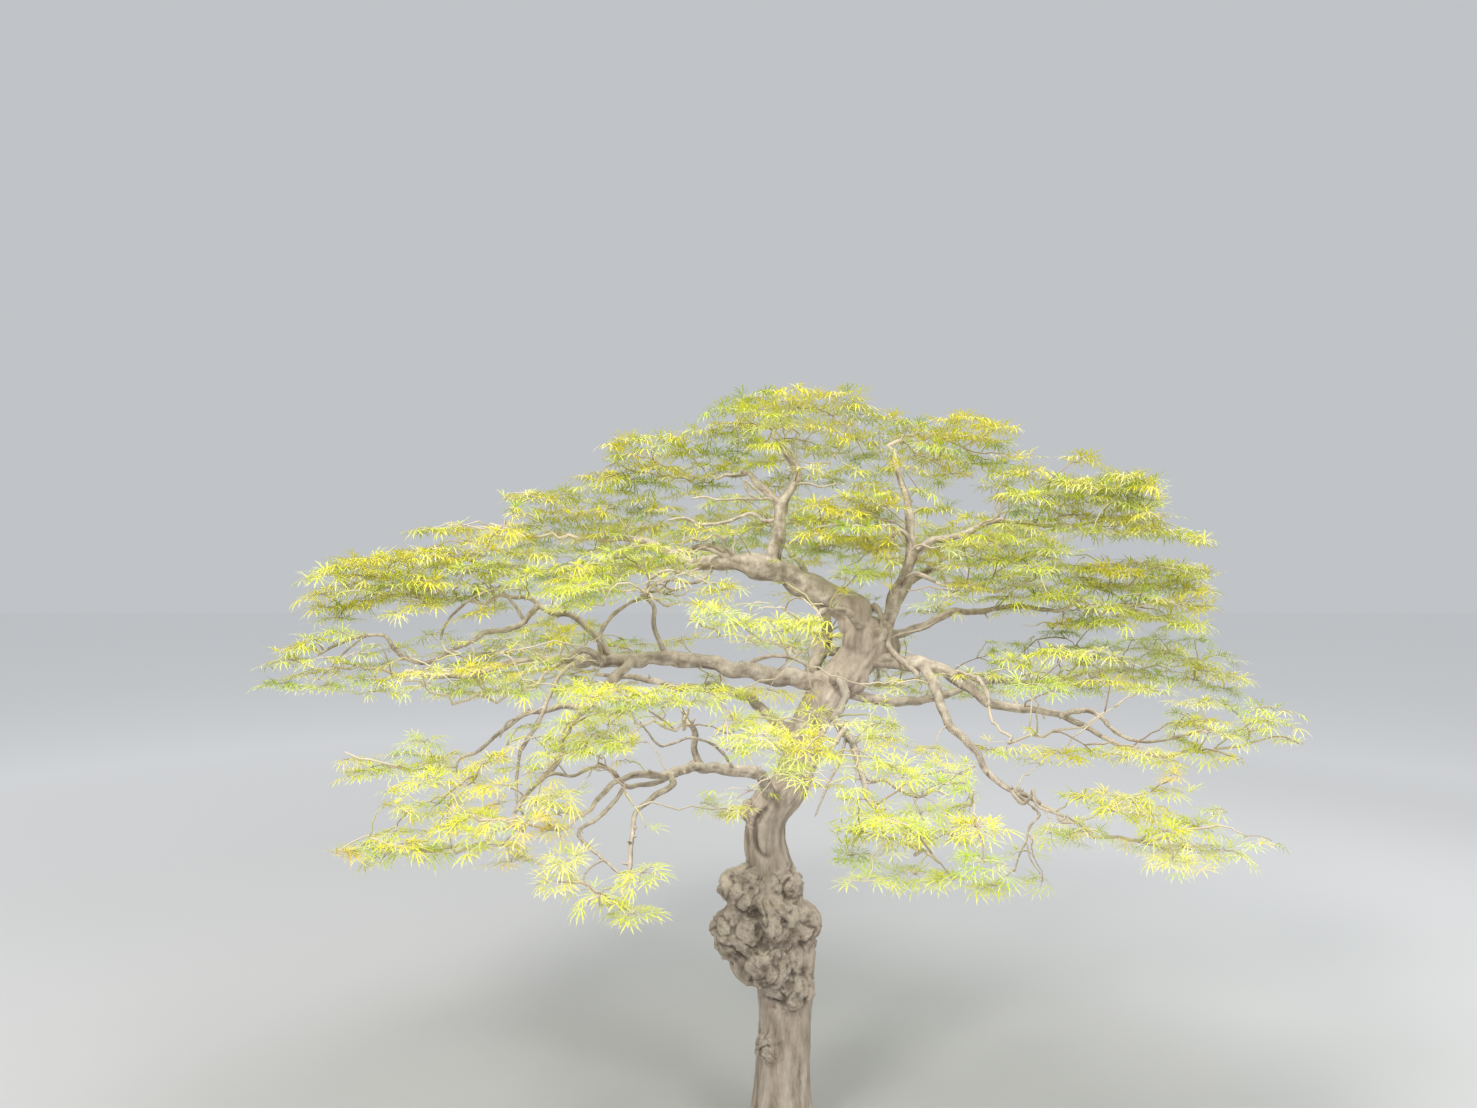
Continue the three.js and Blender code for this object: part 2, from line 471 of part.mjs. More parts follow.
// One mass of foliage: its stem, twigs and sprays, joined into one solid
function massGeometry(limb, space, spaces, bones) {
  const inside = (point) => {
    const own = depthIn(space, point);
    return own < 1 && spaces.every((other) => other === space || depthIn(other, point) > own + OWN_SIDE);
  };
  const clear = (from, to, room) =>
    bones.every((bone) => segmentGap(from, to, bone.from, bone.to) > bone.radius + room + CLEAR);
  const fits = (twig) => {
    const points = twig.curve.getPoints(twig.steps);
    return points.slice(1).every((point, i) => inside(point) && clear(points[i], point, twig.thick));
  };
  const twigs = growTwigs(limb, space, fits);
  const sprays = [];
  const addSpray = (root, aim, size, own) => {
    const { geometry, tips } = sprayGeometry(root, aim, size);
    const heart = root.clone().addScaledVector(aim, STALK + SPRAY_HEART * size);
    const apart = sprays.every(
      (other) =>
        Math.abs(other.heart.z - heart.z) > LAYER ||
        Math.hypot(other.heart.x - heart.x, other.heart.y - heart.y) > SPACING * (other.size + size),
    );
    const open = twigs.every((twig) => {
      if (twig === own || !twig.kept) return true;
      const way = twig.curve.getPoints(twig.steps);
      return tips.every((tip) => way.slice(1).every((p, i) => segmentGap(root, tip, way[i], p) > TWIG_GAP));
    });
    const free = apart && open && tips.every((tip) => inside(tip) && clear(root, tip, SPRAY_THICK));
    if (free) sprays.push({ solid: solidFrom(geometry), heart, size });
    return free;
  };
  const keep = (twig) => {
    twig.kept = true;
    if (twig.parent) keep(twig.parent);
  };
  const roll = dice(space.seed + spaces.length);
  for (const twig of twigs) {
    for (const share of [1, 0.5]) {
      const aim = twig.curve.getTangent(share);
      const root = twig.curve.getPoint(share).addScaledVector(aim, share === 1 ? -STALK_SINK : 0);
      const tipTurn = TIP_TURN * (roll() - 0.5);
      const sideTurn = (tipTurn < 0 ? -1 : 1) * (SIDE_TURN.least + SIDE_TURN.more * roll());
      aim.setZ(Math.max(SPRAY_SLOPE.lowest, Math.min(SPRAY_SLOPE.highest, aim.z)));
      aim.applyAxisAngle(UP, share === 1 ? tipTurn : sideTurn).normalize();
      const full = sprays.length >= MOST_SPRAYS;
      if (!full && SPRAY_SIZES.some((size) => addSpray(root, aim, size * SPRAY, twig))) keep(twig);
    }
  }
  const wood = twigs.filter((twig) => twig.kept).map((twig) => {
    const points = twig.curve.getPoints(twig.steps);
    const radius = (step) => (step || twig.stem ? mix(twig.thick, twig.thin, step / twig.steps) : TWIG.root);
    return solidFrom(bentTube(points, radius, 3, twig.stem ? aimOf(limb, 1) : null));
  });
  return geometryFrom(wasm.Manifold.union([...wood, ...sprays.map((spray) => spray.solid)]));
}

// Materials
const bark = new THREE.MeshStandardMaterial({ color: 0xa8957c, roughness: 0.95, metalness: 0 });
const youngBark = new THREE.MeshStandardMaterial({ color: 0xb9ab93, roughness: 0.85, metalness: 0 });
const leaves = new THREE.MeshStandardMaterial({ color: 0xc9cf4a, roughness: 0.6, metalness: 0 });

function addPiece(group, name, geometry, material) {
  const mesh = new THREE.Mesh(geometry, material);
  mesh.name = name;
  group.add(mesh);
}

// The whole tree, limb by limb and then mass by mass
const tree = new THREE.Group();
addPiece(tree, "trunk", geometryFrom(trunkSolid(0)), bark);
const limbs = [trunk];
const cutters = [trunkSolid(CUT)];
const spaces = LIMBS.map((row, index) => massSpace(MASSES[row.name], index + 1));
LIMBS.forEach((row, index) => {
  const parent = limbs.find((limb) => limb.name === row.from);
  const limb = growLimb(row, index + 1, parent, spaces[index]);
  limbs.push(limb);
  let solid = limbSolid(limb, 0, parent);
  for (const cutter of cutters) solid = solid.subtract(cutter);
  cutters.push(limbSolid(limb, CUT, parent));
  addPiece(tree, row.name, geometryFrom(solid), youngBark);
});
const bones = limbs.flatMap(bonesOf);
spaces.forEach((space, index) => {
  addPiece(tree, space.name, massGeometry(limbs[index + 1], space, spaces, bones), leaves);
});

export default tree;
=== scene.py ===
"""A lace-leaf garden maple, pruned into a wide umbrella, with its bark, twigs and leaves.

The growth rule works in millimetres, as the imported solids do, and every mesh is made in metres. +Z is up, -Y
is towards the viewer and +X is to the viewer's right. Headings are in degrees: 0 is right, 90 back, 180 left
and 270 front.
"""

from __future__ import annotations

import json
import logging
import math
from dataclasses import dataclass, field
from enum import Enum

import bpy
import numpy as np
import numpy.typing as npt
from mathutils import Matrix, Vector, noise

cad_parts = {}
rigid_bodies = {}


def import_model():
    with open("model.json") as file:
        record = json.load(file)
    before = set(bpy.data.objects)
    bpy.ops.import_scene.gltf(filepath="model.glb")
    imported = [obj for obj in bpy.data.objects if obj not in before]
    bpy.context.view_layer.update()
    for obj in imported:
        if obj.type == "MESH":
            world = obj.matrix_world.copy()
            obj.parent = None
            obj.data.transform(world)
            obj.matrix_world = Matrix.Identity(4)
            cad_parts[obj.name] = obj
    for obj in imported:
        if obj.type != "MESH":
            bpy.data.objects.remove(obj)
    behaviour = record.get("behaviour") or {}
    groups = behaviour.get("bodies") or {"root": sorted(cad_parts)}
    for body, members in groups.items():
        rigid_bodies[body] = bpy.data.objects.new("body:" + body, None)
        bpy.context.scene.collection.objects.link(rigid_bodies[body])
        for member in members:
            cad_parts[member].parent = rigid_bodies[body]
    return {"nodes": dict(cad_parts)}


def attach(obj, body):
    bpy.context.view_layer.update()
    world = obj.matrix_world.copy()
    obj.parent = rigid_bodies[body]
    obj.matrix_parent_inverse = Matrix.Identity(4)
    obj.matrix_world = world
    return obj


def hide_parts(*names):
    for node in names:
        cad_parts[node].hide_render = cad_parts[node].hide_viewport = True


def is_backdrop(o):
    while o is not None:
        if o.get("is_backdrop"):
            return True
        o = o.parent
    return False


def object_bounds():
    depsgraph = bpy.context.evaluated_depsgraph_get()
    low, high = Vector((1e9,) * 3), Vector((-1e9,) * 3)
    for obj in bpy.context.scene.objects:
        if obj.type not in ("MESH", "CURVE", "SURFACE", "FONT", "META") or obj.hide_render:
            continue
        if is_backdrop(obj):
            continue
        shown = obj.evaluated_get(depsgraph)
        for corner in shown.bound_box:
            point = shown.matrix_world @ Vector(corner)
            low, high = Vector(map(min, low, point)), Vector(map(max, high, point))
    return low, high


Array = npt.NDArray[np.float64]
Faces = npt.NDArray[np.int32]
Numbers = npt.NDArray[np.int32]
Part = tuple[Array, Faces]
Colour = tuple[float, float, float]
Mesh = bpy.types.Mesh
Material = bpy.types.Material
Piece = bpy.types.Object
Node = bpy.types.Node
Socket = bpy.types.NodeSocket
Inputs = dict[str | int, object]

LOG = logging.getLogger("maple")
NOISE_SEED = 7
BODY = "root"
MM = 0.001
UP = np.array([0.0, 0.0, 1.0])


class Slot(Enum):
    """The record's material slots."""

    BARK = "bark"
    YOUNG_BARK = "young_bark"
    LEAVES = "leaves"


class Mood(Enum):
    """How a pad of foliage is coloured: the shares of gold, lemon, lime, pale, cream and amber sprays."""

    SUNNY = (0.32, 0.34, 0.14, 0.11, 0.09, 0.00)
    FRESH = (0.16, 0.30, 0.20, 0.20, 0.14, 0.00)
    PALE = (0.08, 0.27, 0.22, 0.26, 0.17, 0.00)
    WARM = (0.17, 0.24, 0.10, 0.18, 0.22, 0.09)


@dataclass(frozen=True)
class TrunkRow:
    """A station of the trunk's middle line, and its half thickness there."""

    height: float
    right: float
    back: float
    radius: float


@dataclass(frozen=True)
class Lump:
    """A burl or knob: its heading and height, how far out from the trunk's line it stands, and its size."""

    heading: float
    height: float
    out: float
    size: float


@dataclass(frozen=True)
class PadRow:
    """A mass of foliage: its middle as heading, distance out and height, its half sizes and its colouring."""

    name: str
    middle: tuple[float, float, float]
    half: tuple[float, float, float]
    mood: Mood = Mood.FRESH


@dataclass(frozen=True)
class LimbRow:
    """A limb: its parent and the share of its way where it leaves, its bends, half thicknesses and pad."""

    name: str
    parent: str
    at: float
    arch: float
    sway: float
    thick: float
    thin: float
    pad: PadRow


TRUNK_TOP = 1580.0
TRUNK_ROWS = (
    TrunkRow(0, 0, 0, 84),
    TrunkRow(180, 4, 0, 80),
    TrunkRow(345, 9, 2, 79),
    TrunkRow(560, 6, 4, 92),
    TrunkRow(750, -22, 2, 78),
    TrunkRow(905, -50, -2, 61),
    TrunkRow(985, -42, -4, 62),
    TrunkRow(1060, 18, -2, 59),
    TrunkRow(1160, 62, 4, 56),
    TrunkRow(1270, 96, 10, 54),
    TrunkRow(1370, 162, 20, 57),
    TrunkRow(1450, 236, 34, 60),
    TrunkRow(1525, 282, 44, 57),
    TrunkRow(TRUNK_TOP, 268, 54, 50),
)
BURLS = (
    Lump(194, 636, 118, 92),
    Lump(192, 758, 92, 74),
    Lump(236, 548, 84, 78),
    Lump(266, 680, 60, 70),
    Lump(330, 768, 50, 54),
    Lump(338, 640, 72, 56),
    Lump(292, 470, 44, 68),
    Lump(62, 560, 62, 74),
    Lump(122, 690, 68, 76),
    Lump(214, 292, 62, 40),
    Lump(170, 985, 34, 46),
)
SUNNY, FRESH, PALE, WARM = Mood.SUNNY, Mood.FRESH, Mood.PALE, Mood.WARM
LIMB_ROWS = tuple(LimbRow(*row[:7], PadRow(*row[7:])) for row in (
    ("leader_left", "trunk", 1, 44, -70, 47, 9,
     "left_shoulder", (161, 900, 1890), (400, 400, 140), SUNNY),
    ("leader_right", "trunk", 0.92, -70, 110, 30, 8,
     "top_right", (27, 650, 2140), (355, 320, 135), SUNNY),
    ("bough_left_main", "trunk", 0.875, 26, 26, 31, 7,
     "left_tip", (193, 1262, 1480), (250, 295, 105), FRESH),
    ("bough_right_front", "trunk", 0.925, 40, 20, 25, 7,
     "right_tip", (341, 1210, 1305), (320, 295, 100), FRESH),
    ("bough_right_back", "trunk", 0.86, -24, 30, 18, 6,
     "right_middle", (8, 1190, 1432), (315, 340, 110), PALE),
    ("bough_front", "trunk", 0.89, 60, 90, 16, 6,
     "front_right_low", (284, 1040, 1190), (290, 365, 130), FRESH),
    ("bough_front_left", "trunk", 0.645, 124, -40, 21, 6,
     "front_left", (231, 1026, 1205), (310, 340, 125), WARM),
    ("bough_back", "trunk", 0.83, 20, 40, 25, 7,
     "back", (92, 850, 1885), (380, 415, 155), FRESH),
    ("bough_low_back_left", "trunk", 0.76, 70, -30, 19, 7,
     "low_back_left", (140, 1090, 1410), (350, 515, 140), PALE),
    ("bough_low_back_right", "bough_back", 0.3, 60, 60, 17, 6,
     "low_back_right", (62, 1090, 1380), (350, 525, 140), PALE),
    ("bough_back_left", "leader_left", 0.42, 40, 40, 17, 6,
     "back_left", (130, 930, 1800), (380, 415, 150), FRESH),
    ("bough_back_right", "leader_right", 0.42, 30, 30, 16, 6,
     "back_right", (46, 990, 1800), (380, 415, 150), FRESH),
    ("bough_top", "leader_left", 0.36, 30, 46, 24, 7,
     "crown_top", (81, 250, 2205), (305, 365, 150), SUNNY),
    ("bough_top_left", "bough_top", 0.42, 40, -20, 13, 5,
     "top_left", (142, 500, 2085), (305, 320, 125), SUNNY),
    ("bough_upper_right", "leader_right", 0.6, 40, -20, 14, 6,
     "upper_right", (5, 1030, 1935), (330, 335, 140), SUNNY),
    ("bough_right_shoulder", "leader_right", 0.24, 20, -70, 15, 6,
     "right_shoulder", (359, 1110, 1665), (360, 350, 135), FRESH),
    ("bough_right_centre", "leader_right", 0.46, 36, 30, 12, 5,
     "right_centre", (350, 660, 1745), (295, 315, 125), FRESH),
    ("bough_centre_up", "leader_right", 0.62, 46, -20, 10, 5,
     "centre_upper", (345, 240, 1870), (245, 270, 110), SUNNY),
    ("bough_centre", "trunk", 0.97, 60, 40, 13, 5,
     "centre", (266, 640, 1600), (275, 305, 110), FRESH),
    ("bough_right_low", "bough_right_front", 0.3, -10, 60, 17, 6,
     "right_low", (324, 1100, 1150), (330, 330, 120), WARM),
    ("bough_right_upper", "bough_right_front", 0.42, 40, -20, 12, 5,
     "right_front", (322, 880, 1415), (290, 310, 165), SUNNY),
    ("bough_front_fork", "bough_front", 0.62, 24, -20, 10, 5,
     "front_centre", (270, 960, 1340), (230, 255, 105), PALE),
    ("bough_front_left_up", "bough_front_left", 0.5, 56, 20, 10, 5,
     "front_left_upper", (245, 790, 1405), (280, 320, 105), FRESH),
    ("bough_front_hanging", "bough_front_left", 0.66, 44, 10, 9, 5,
     "front_hanging", (249, 1150, 1100), (215, 230, 105), FRESH),
    ("bough_left_mid", "bough_left_main", 0.58, 40, -10, 12, 5,
     "left_middle", (211, 1010, 1480), (305, 305, 105), FRESH),
    ("bough_left_low", "bough_left_main", 0.5, 50, -26, 15, 6,
     "left_low", (216, 1120, 1125), (300, 290, 105), WARM),
    ("bough_left_outer", "bough_left_low", 0.4, 40, 20, 10, 5,
     "left_hanging", (200, 1140, 1262), (275, 260, 95), FRESH),
    ("bough_left_upper", "bough_left_main", 0.55, 50, 30, 13, 6,
     "left_upper", (180, 1120, 1700), (355, 365, 125), SUNNY),
    ("bough_centre_left", "bough_left_main", 0.42, 50, 40, 9, 5,
     "centre_left", (216, 510, 1715), (295, 315, 110), FRESH),
))

# The growth rule's values, as the solids have them
TOUCH = 0.3
WAVE_ORDERS = (1, 2, 3)
CROOK, CROOK_TURNS, CROOK_RISE = 0.05, 0.85, 0.7
TAPER = 1.15
COLLAR_SWELL, COLLAR_LENGTH = 0.45, 2.6
ENTRY_SHORT, ENTRY_SINK, ENTRY_MOST = 0.78, 0.42, 0.8
STEM_REACH, STEM_SINK, STEM_STRAIGHT = 0.42, 0.12, 0.4
TWIG_AT, TWIG_RISE, TWIG_ONWARD = 0.45, 0.16, 0.12
STRAIGHTNESS = 1.7
SPREAD = (0.7548776662466927, 0.5698402909980532)
PAD_DROOP = 0.5


def unit(vectors: Array) -> Array:
    """Returns the vectors scaled to length 1."""
    return vectors / np.maximum(np.linalg.norm(vectors, axis=-1, keepdims=True), 1e-9)


def place(heading: float, out: float, height: float) -> Array:
    """Returns the point at a heading, a distance out from the trunk's foot and a height."""
    turn = math.radians(heading)
    return np.array([out * math.cos(turn), out * math.sin(turn), height])


def bezier(a: Array, b: Array, c: Array, shares: Array) -> Array:
    """Returns points along the quadratic curve from a to c that b bends.

    Args:
        a: The curve's first point.
        b: The point that bends it.
        c: Its last point.
        shares: Shares of its way, from 0 to 1.

    Returns:
        One point for each share.
    """
    s = shares[:, None]
    return (1 - s) ** 2 * a + 2 * s * (1 - s) * b + s**2 * c


def new_mesh(name: str, points: Array, faces: Faces, slots: Numbers | None = None) -> Mesh:
    """Makes a triangle mesh quickly from arrays.

    Args:
        name: The mesh's name.
        points: Corners in millimetres.
        faces: Three corner numbers a face.
        slots: Each face's material slot.

    Returns:
        The mesh, in metres.
    """
    mesh = bpy.data.meshes.new(name)
    mesh.vertices.add(len(points))
    mesh.vertices.foreach_set("co", (points * MM).astype(np.float32).ravel())
    mesh.loops.add(faces.size)
    mesh.loops.foreach_set("vertex_index", faces.astype(np.int32).ravel())
    mesh.polygons.add(len(faces))
    mesh.polygons.foreach_set("loop_start", np.arange(0, faces.size, 3, dtype=np.int32))
    if slots is not None:
        mesh.polygons.foreach_set("material_index", slots.astype(np.int32))
    mesh.update(calc_edges=True)
    mesh.validate()
    return mesh


def new_piece(name: str, mesh: Mesh, materials: list[Material]) -> Piece:
    """Puts a mesh into the scene as a piece that rides on the tree.

    Args:
        name: The piece's name.
        mesh: Its mesh.
        materials: The materials of its slots.

    Returns:
        The piece.
    """
    for material in materials:
        mesh.materials.append(material)
    piece = bpy.data.objects.new(name, mesh)
    bpy.context.scene.collection.objects.link(piece)
    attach(piece, BODY)
    return piece


def shade_smooth(mesh: Mesh) -> None:
    """Smooths a mesh's shading."""
    mesh.polygons.foreach_set("use_smooth", np.ones(len(mesh.polygons), dtype=bool))


class Dice:
    """The seeded stream of numbers that the solids grow by."""

    MODULUS = 2147483647
    FACTOR = 48271

    def __init__(self, seed: int) -> None:
        """Starts the stream of a seed."""
        self.state = (seed * 7919 + 12345) % self.MODULUS

    def roll(self) -> float:
        """Returns the next number from 0 to 1."""
        self.state = (self.state * self.FACTOR) % self.MODULUS
        return self.state / self.MODULUS


@dataclass
class TrunkLine:
    """The trunk's middle line through its stations, and its half thickness."""

    rows: tuple[TrunkRow, ...] = TRUNK_ROWS

    def station(self, share: float) -> tuple[int, float]:
        """Finds the stretch of the trunk on which a share of its height lies.

        Args:
            share: From 0 at the ground to 1 at the fork.

        Returns:
            The number of the station below it, and how far on from there it is.
        """
        height = share * TRUNK_TOP
        index = 1
        while index < len(self.rows) - 1 and self.rows[index].height < height - 1e-6:
            index += 1
        low, high = self.rows[index - 1], self.rows[index]
        return index - 1, (height - low.height) / (high.height - low.height)

    def point(self, share: float) -> Array:
        """Returns the point of the middle line at a share of the trunk's height.

        The line is a centripetal Catmull-Rom curve, as in the solids.

        Args:
            share: From 0 at the ground to 1 at the fork.

        Returns:
            The point, in millimetres.
        """
        index, part = self.station(share)
        stations = [np.array([r.right, r.back, r.height], dtype=float) for r in self.rows]
        p1, p2 = stations[index], stations[index + 1]
        p0 = stations[index - 1] if index > 0 else 2 * p1 - p2
        p3 = stations[index + 2] if index + 2 < len(stations) else 2 * p2 - p1
        d0, d1, d2 = (math.sqrt(np.linalg.norm(b - a)) for a, b in ((p0, p1), (p1, p2), (p2, p3)))
        out = ((p1 - p0) / d0 - (p2 - p0) / (d0 + d1) + (p2 - p1) / d1) * d1
        into = ((p2 - p1) / d1 - (p3 - p1) / (d1 + d2) + (p3 - p2) / d2) * d1
        cubic = 2 * p1 - 2 * p2 + out + into
        square = -3 * p1 + 3 * p2 - 2 * out - into
        return p1 + out * part + square * part**2 + cubic * part**3

    def points(self, shares: Array) -> Array:
        """Returns the middle line's points at several shares."""
        return np.array([self.point(float(share)) for share in shares])

    def beside(self, lump: Lump) -> Array:
        """Returns a lump's middle."""
        return self.point(lump.height / TRUNK_TOP) + place(lump.heading, lump.out, 0)

    def radii(self, shares: Array) -> Array:
        """Returns the half thickness at several shares."""
        heights = [row.height for row in self.rows]
        return np.interp(np.asarray(shares) * TRUNK_TOP, heights, [row.radius for row in self.rows])

    def aim(self, share: float) -> Array:
        """Returns the direction in which the trunk runs at a share."""
        return unit(self.point(min(1.0, share + 0.01)) - self.point(max(0.0, share - 0.01)))


@dataclass
class PadSpace:
    """The space of one mass of foliage: a flat pad with a full rim, domed so that its rim hangs."""

    row: PadRow
    seed: int
    middle: Array = field(init=False)
    outward: Array = field(init=False)
    aside: Array = field(init=False)

    def __post_init__(self) -> None:
        """Works out the pad's own frame."""
        self.middle = place(*self.row.middle)
        self.outward = place(self.row.middle[0], 1, 0)
        self.aside = np.array([-self.outward[1], self.outward[0], 0.0])

    def reach(self, way: Array) -> float:
        """Returns how far the pad reaches from its middle in a level direction."""
        along, across, _ = self.row.half
        return abs(way @ self.outward) * along + abs(way @ self.aside) * across

    def depth(self, points: Array) -> Array:
        """Works out how far out in the pad points lie.

        Args:
            points: Points in millimetres.

        Returns:
            For each point, 0 in the pad's middle and 1 at its skin.
        """
        along, across, up = self.row.half
        offset = points - self.middle
        plan = (offset @ self.outward / along) ** 2 + (offset @ self.aside / across) ** 2
        rise = offset[..., 2] / up + PAD_DROOP * plan
        return (plan**2 + rise**4) ** 0.25


@dataclass
class LimbLine:
    """A limb's middle line from its parent to its pad, and its half thickness."""

    row: LimbRow
    seed: int
    parent: TrunkLine | LimbLine
    pad: PadSpace
    start: Array = field(init=False)
    tip: Array = field(init=False)
    side: Array = field(init=False)
    length: float = field(init=False)
    waves: list[tuple[int, float, float]] = field(init=False)

    def __post_init__(self) -> None:
        """Works out the limb's ends and its waves."""
        row, pad = self.row, self.pad
        self.start = self.parent.points(np.array([row.at]))[0]
        if row.at == 1:
            self.start = self.start + self.parent.aim(1.0) * TOUCH
        way = (pad.middle - self.start) * [1, 1, 0]
        inward = unit(way)
        short = ENTRY_SHORT * min(pad.reach(inward), ENTRY_MOST * float(np.linalg.norm(way)))
        self.tip = pad.middle - inward * short - UP * ENTRY_SINK * row.pad.half[2]
        self.side = np.array([inward[1], -inward[0], 0.0])
        self.length = float(np.linalg.norm(self.tip - self.start))
        dice = Dice(self.seed)
        self.waves = [(order, 2 * math.pi * dice.roll(), 2 * math.pi * dice.roll()) for order in WAVE_ORDERS]

    def points(self, shares: Array) -> Array:
        """Works out the limb's middle line.

        Args:
            shares: Shares of its way, from 0 to 1.

        Returns:
            A point for each share.
        """
        s = np.asarray(shares, dtype=float)[:, None]
        bow = 4 * s * (1 - s)
        crook = CROOK * self.length * np.sin(math.pi * s)
        points = self.start + (self.tip - self.start) * s
        points = points + UP * self.row.arch * bow + self.side * self.row.sway * bow
        for order, aside, above in self.waves:
            turn = 2 * math.pi * CROOK_TURNS * order * s
            points = points + self.side * crook / order * np.sin(turn + aside)
            points = points + UP * CROOK_RISE * crook / order * np.sin(turn + above)
        return points

    def radii(self, shares: Array) -> Array:
        """Works out the limb's half thickness.

        Args:
            shares: Shares of its way, from 0 to 1.

        Returns:
            The half thickness at each share.
        """
        s = np.asarray(shares, dtype=float)
        thick, thin = self.row.thick, self.row.thin
        near = np.maximum(0, 1 - s * self.length / (COLLAR_LENGTH * thick))
        return thin + (thick - thin) * (1 - s) ** TAPER + COLLAR_SWELL * thick * near**2

    def aim(self, share: float) -> Array:
        """Returns the direction in which the limb runs at a share."""
        ends = self.points(np.array([max(0.0, share - 0.01), min(1.0, share + 0.01)]))
        return unit(ends[1] - ends[0])


@dataclass(frozen=True)
class PhotoView:
    """The photograph's camera: where it stands, and its focal length and picture in pixels."""

    eye: tuple[float, float, float] = (-130.0, -3400.0, 1780.0)
    focal: float = 1109.0
    width: float = 1477.0
    height: float = 1108.0

    def pixels(self, points: Array) -> Array:
        """Finds where points show in the 1477 by 1108 picture.

        Args:
            points: The points, in millimetres.

        Returns:
            Two pixel numbers for each point, across and down.
        """
        right, back, up = np.moveaxis(points - np.array(self.eye), -1, 0)
        across = self.width / 2 + right / back * self.focal
        return np.stack([across, self.height / 2 - up / back * self.focal], axis=-1)

    def point(self, across: float, down: float, back: float) -> Array:
        """Finds the point that shows at a pixel.

        Args:
            across: The pixel's place from the left.
            down: Its place from the top.
            back: How far back from the trunk's foot the point lies, in millimetres.

        Returns:
            The point.
        """
        depth = back - self.eye[1]
        right = self.eye[0] + (across - self.width / 2) / self.focal * depth
        return np.array([right, back, self.eye[2] - (down - self.height / 2) / self.focal * depth])


PHOTO = PhotoView()


@dataclass(frozen=True)
class Branchlet:
    """A pale winding branchlet of the photograph.

    It leaves the limb it is named with where that limb shows nearest to its first bend. Its bends are pixels
    of the 1477 by 1108 picture, and its end lies at a distance back from the trunk's foot.
    """

    parent: str
    bends: tuple[tuple[float, float], ...]
    back: float
    thick: float
    thin: float
    mass: str = ""

    def way(self, parent: Array) -> Array:
        """Grows the branchlet from its parent's line.

        Args:
            parent: The points of that line.

        Returns:
            The points of its smooth way.
        """
        gaps = np.linalg.norm(PHOTO.pixels(parent) - np.array(self.bends[0]), axis=1)
        start = parent[int(np.argmin(gaps))]
        bends = np.array(self.bends)
        gone = np.concatenate([[0], np.cumsum(np.linalg.norm(np.diff(bends, axis=0), axis=1))])
        depths = start[1] + (self.back - start[1]) * gone / gone[-1]
        points = np.array([start] + [PHOTO.point(x, y, back) for (x, y), back in zip(bends[1:], depths[1:])])
        return through(points, 5)

    def radii(self, way: Array) -> Array:
        """Returns its half thickness at each point of its way."""
        return np.linspace(self.thick, self.thin, len(way))


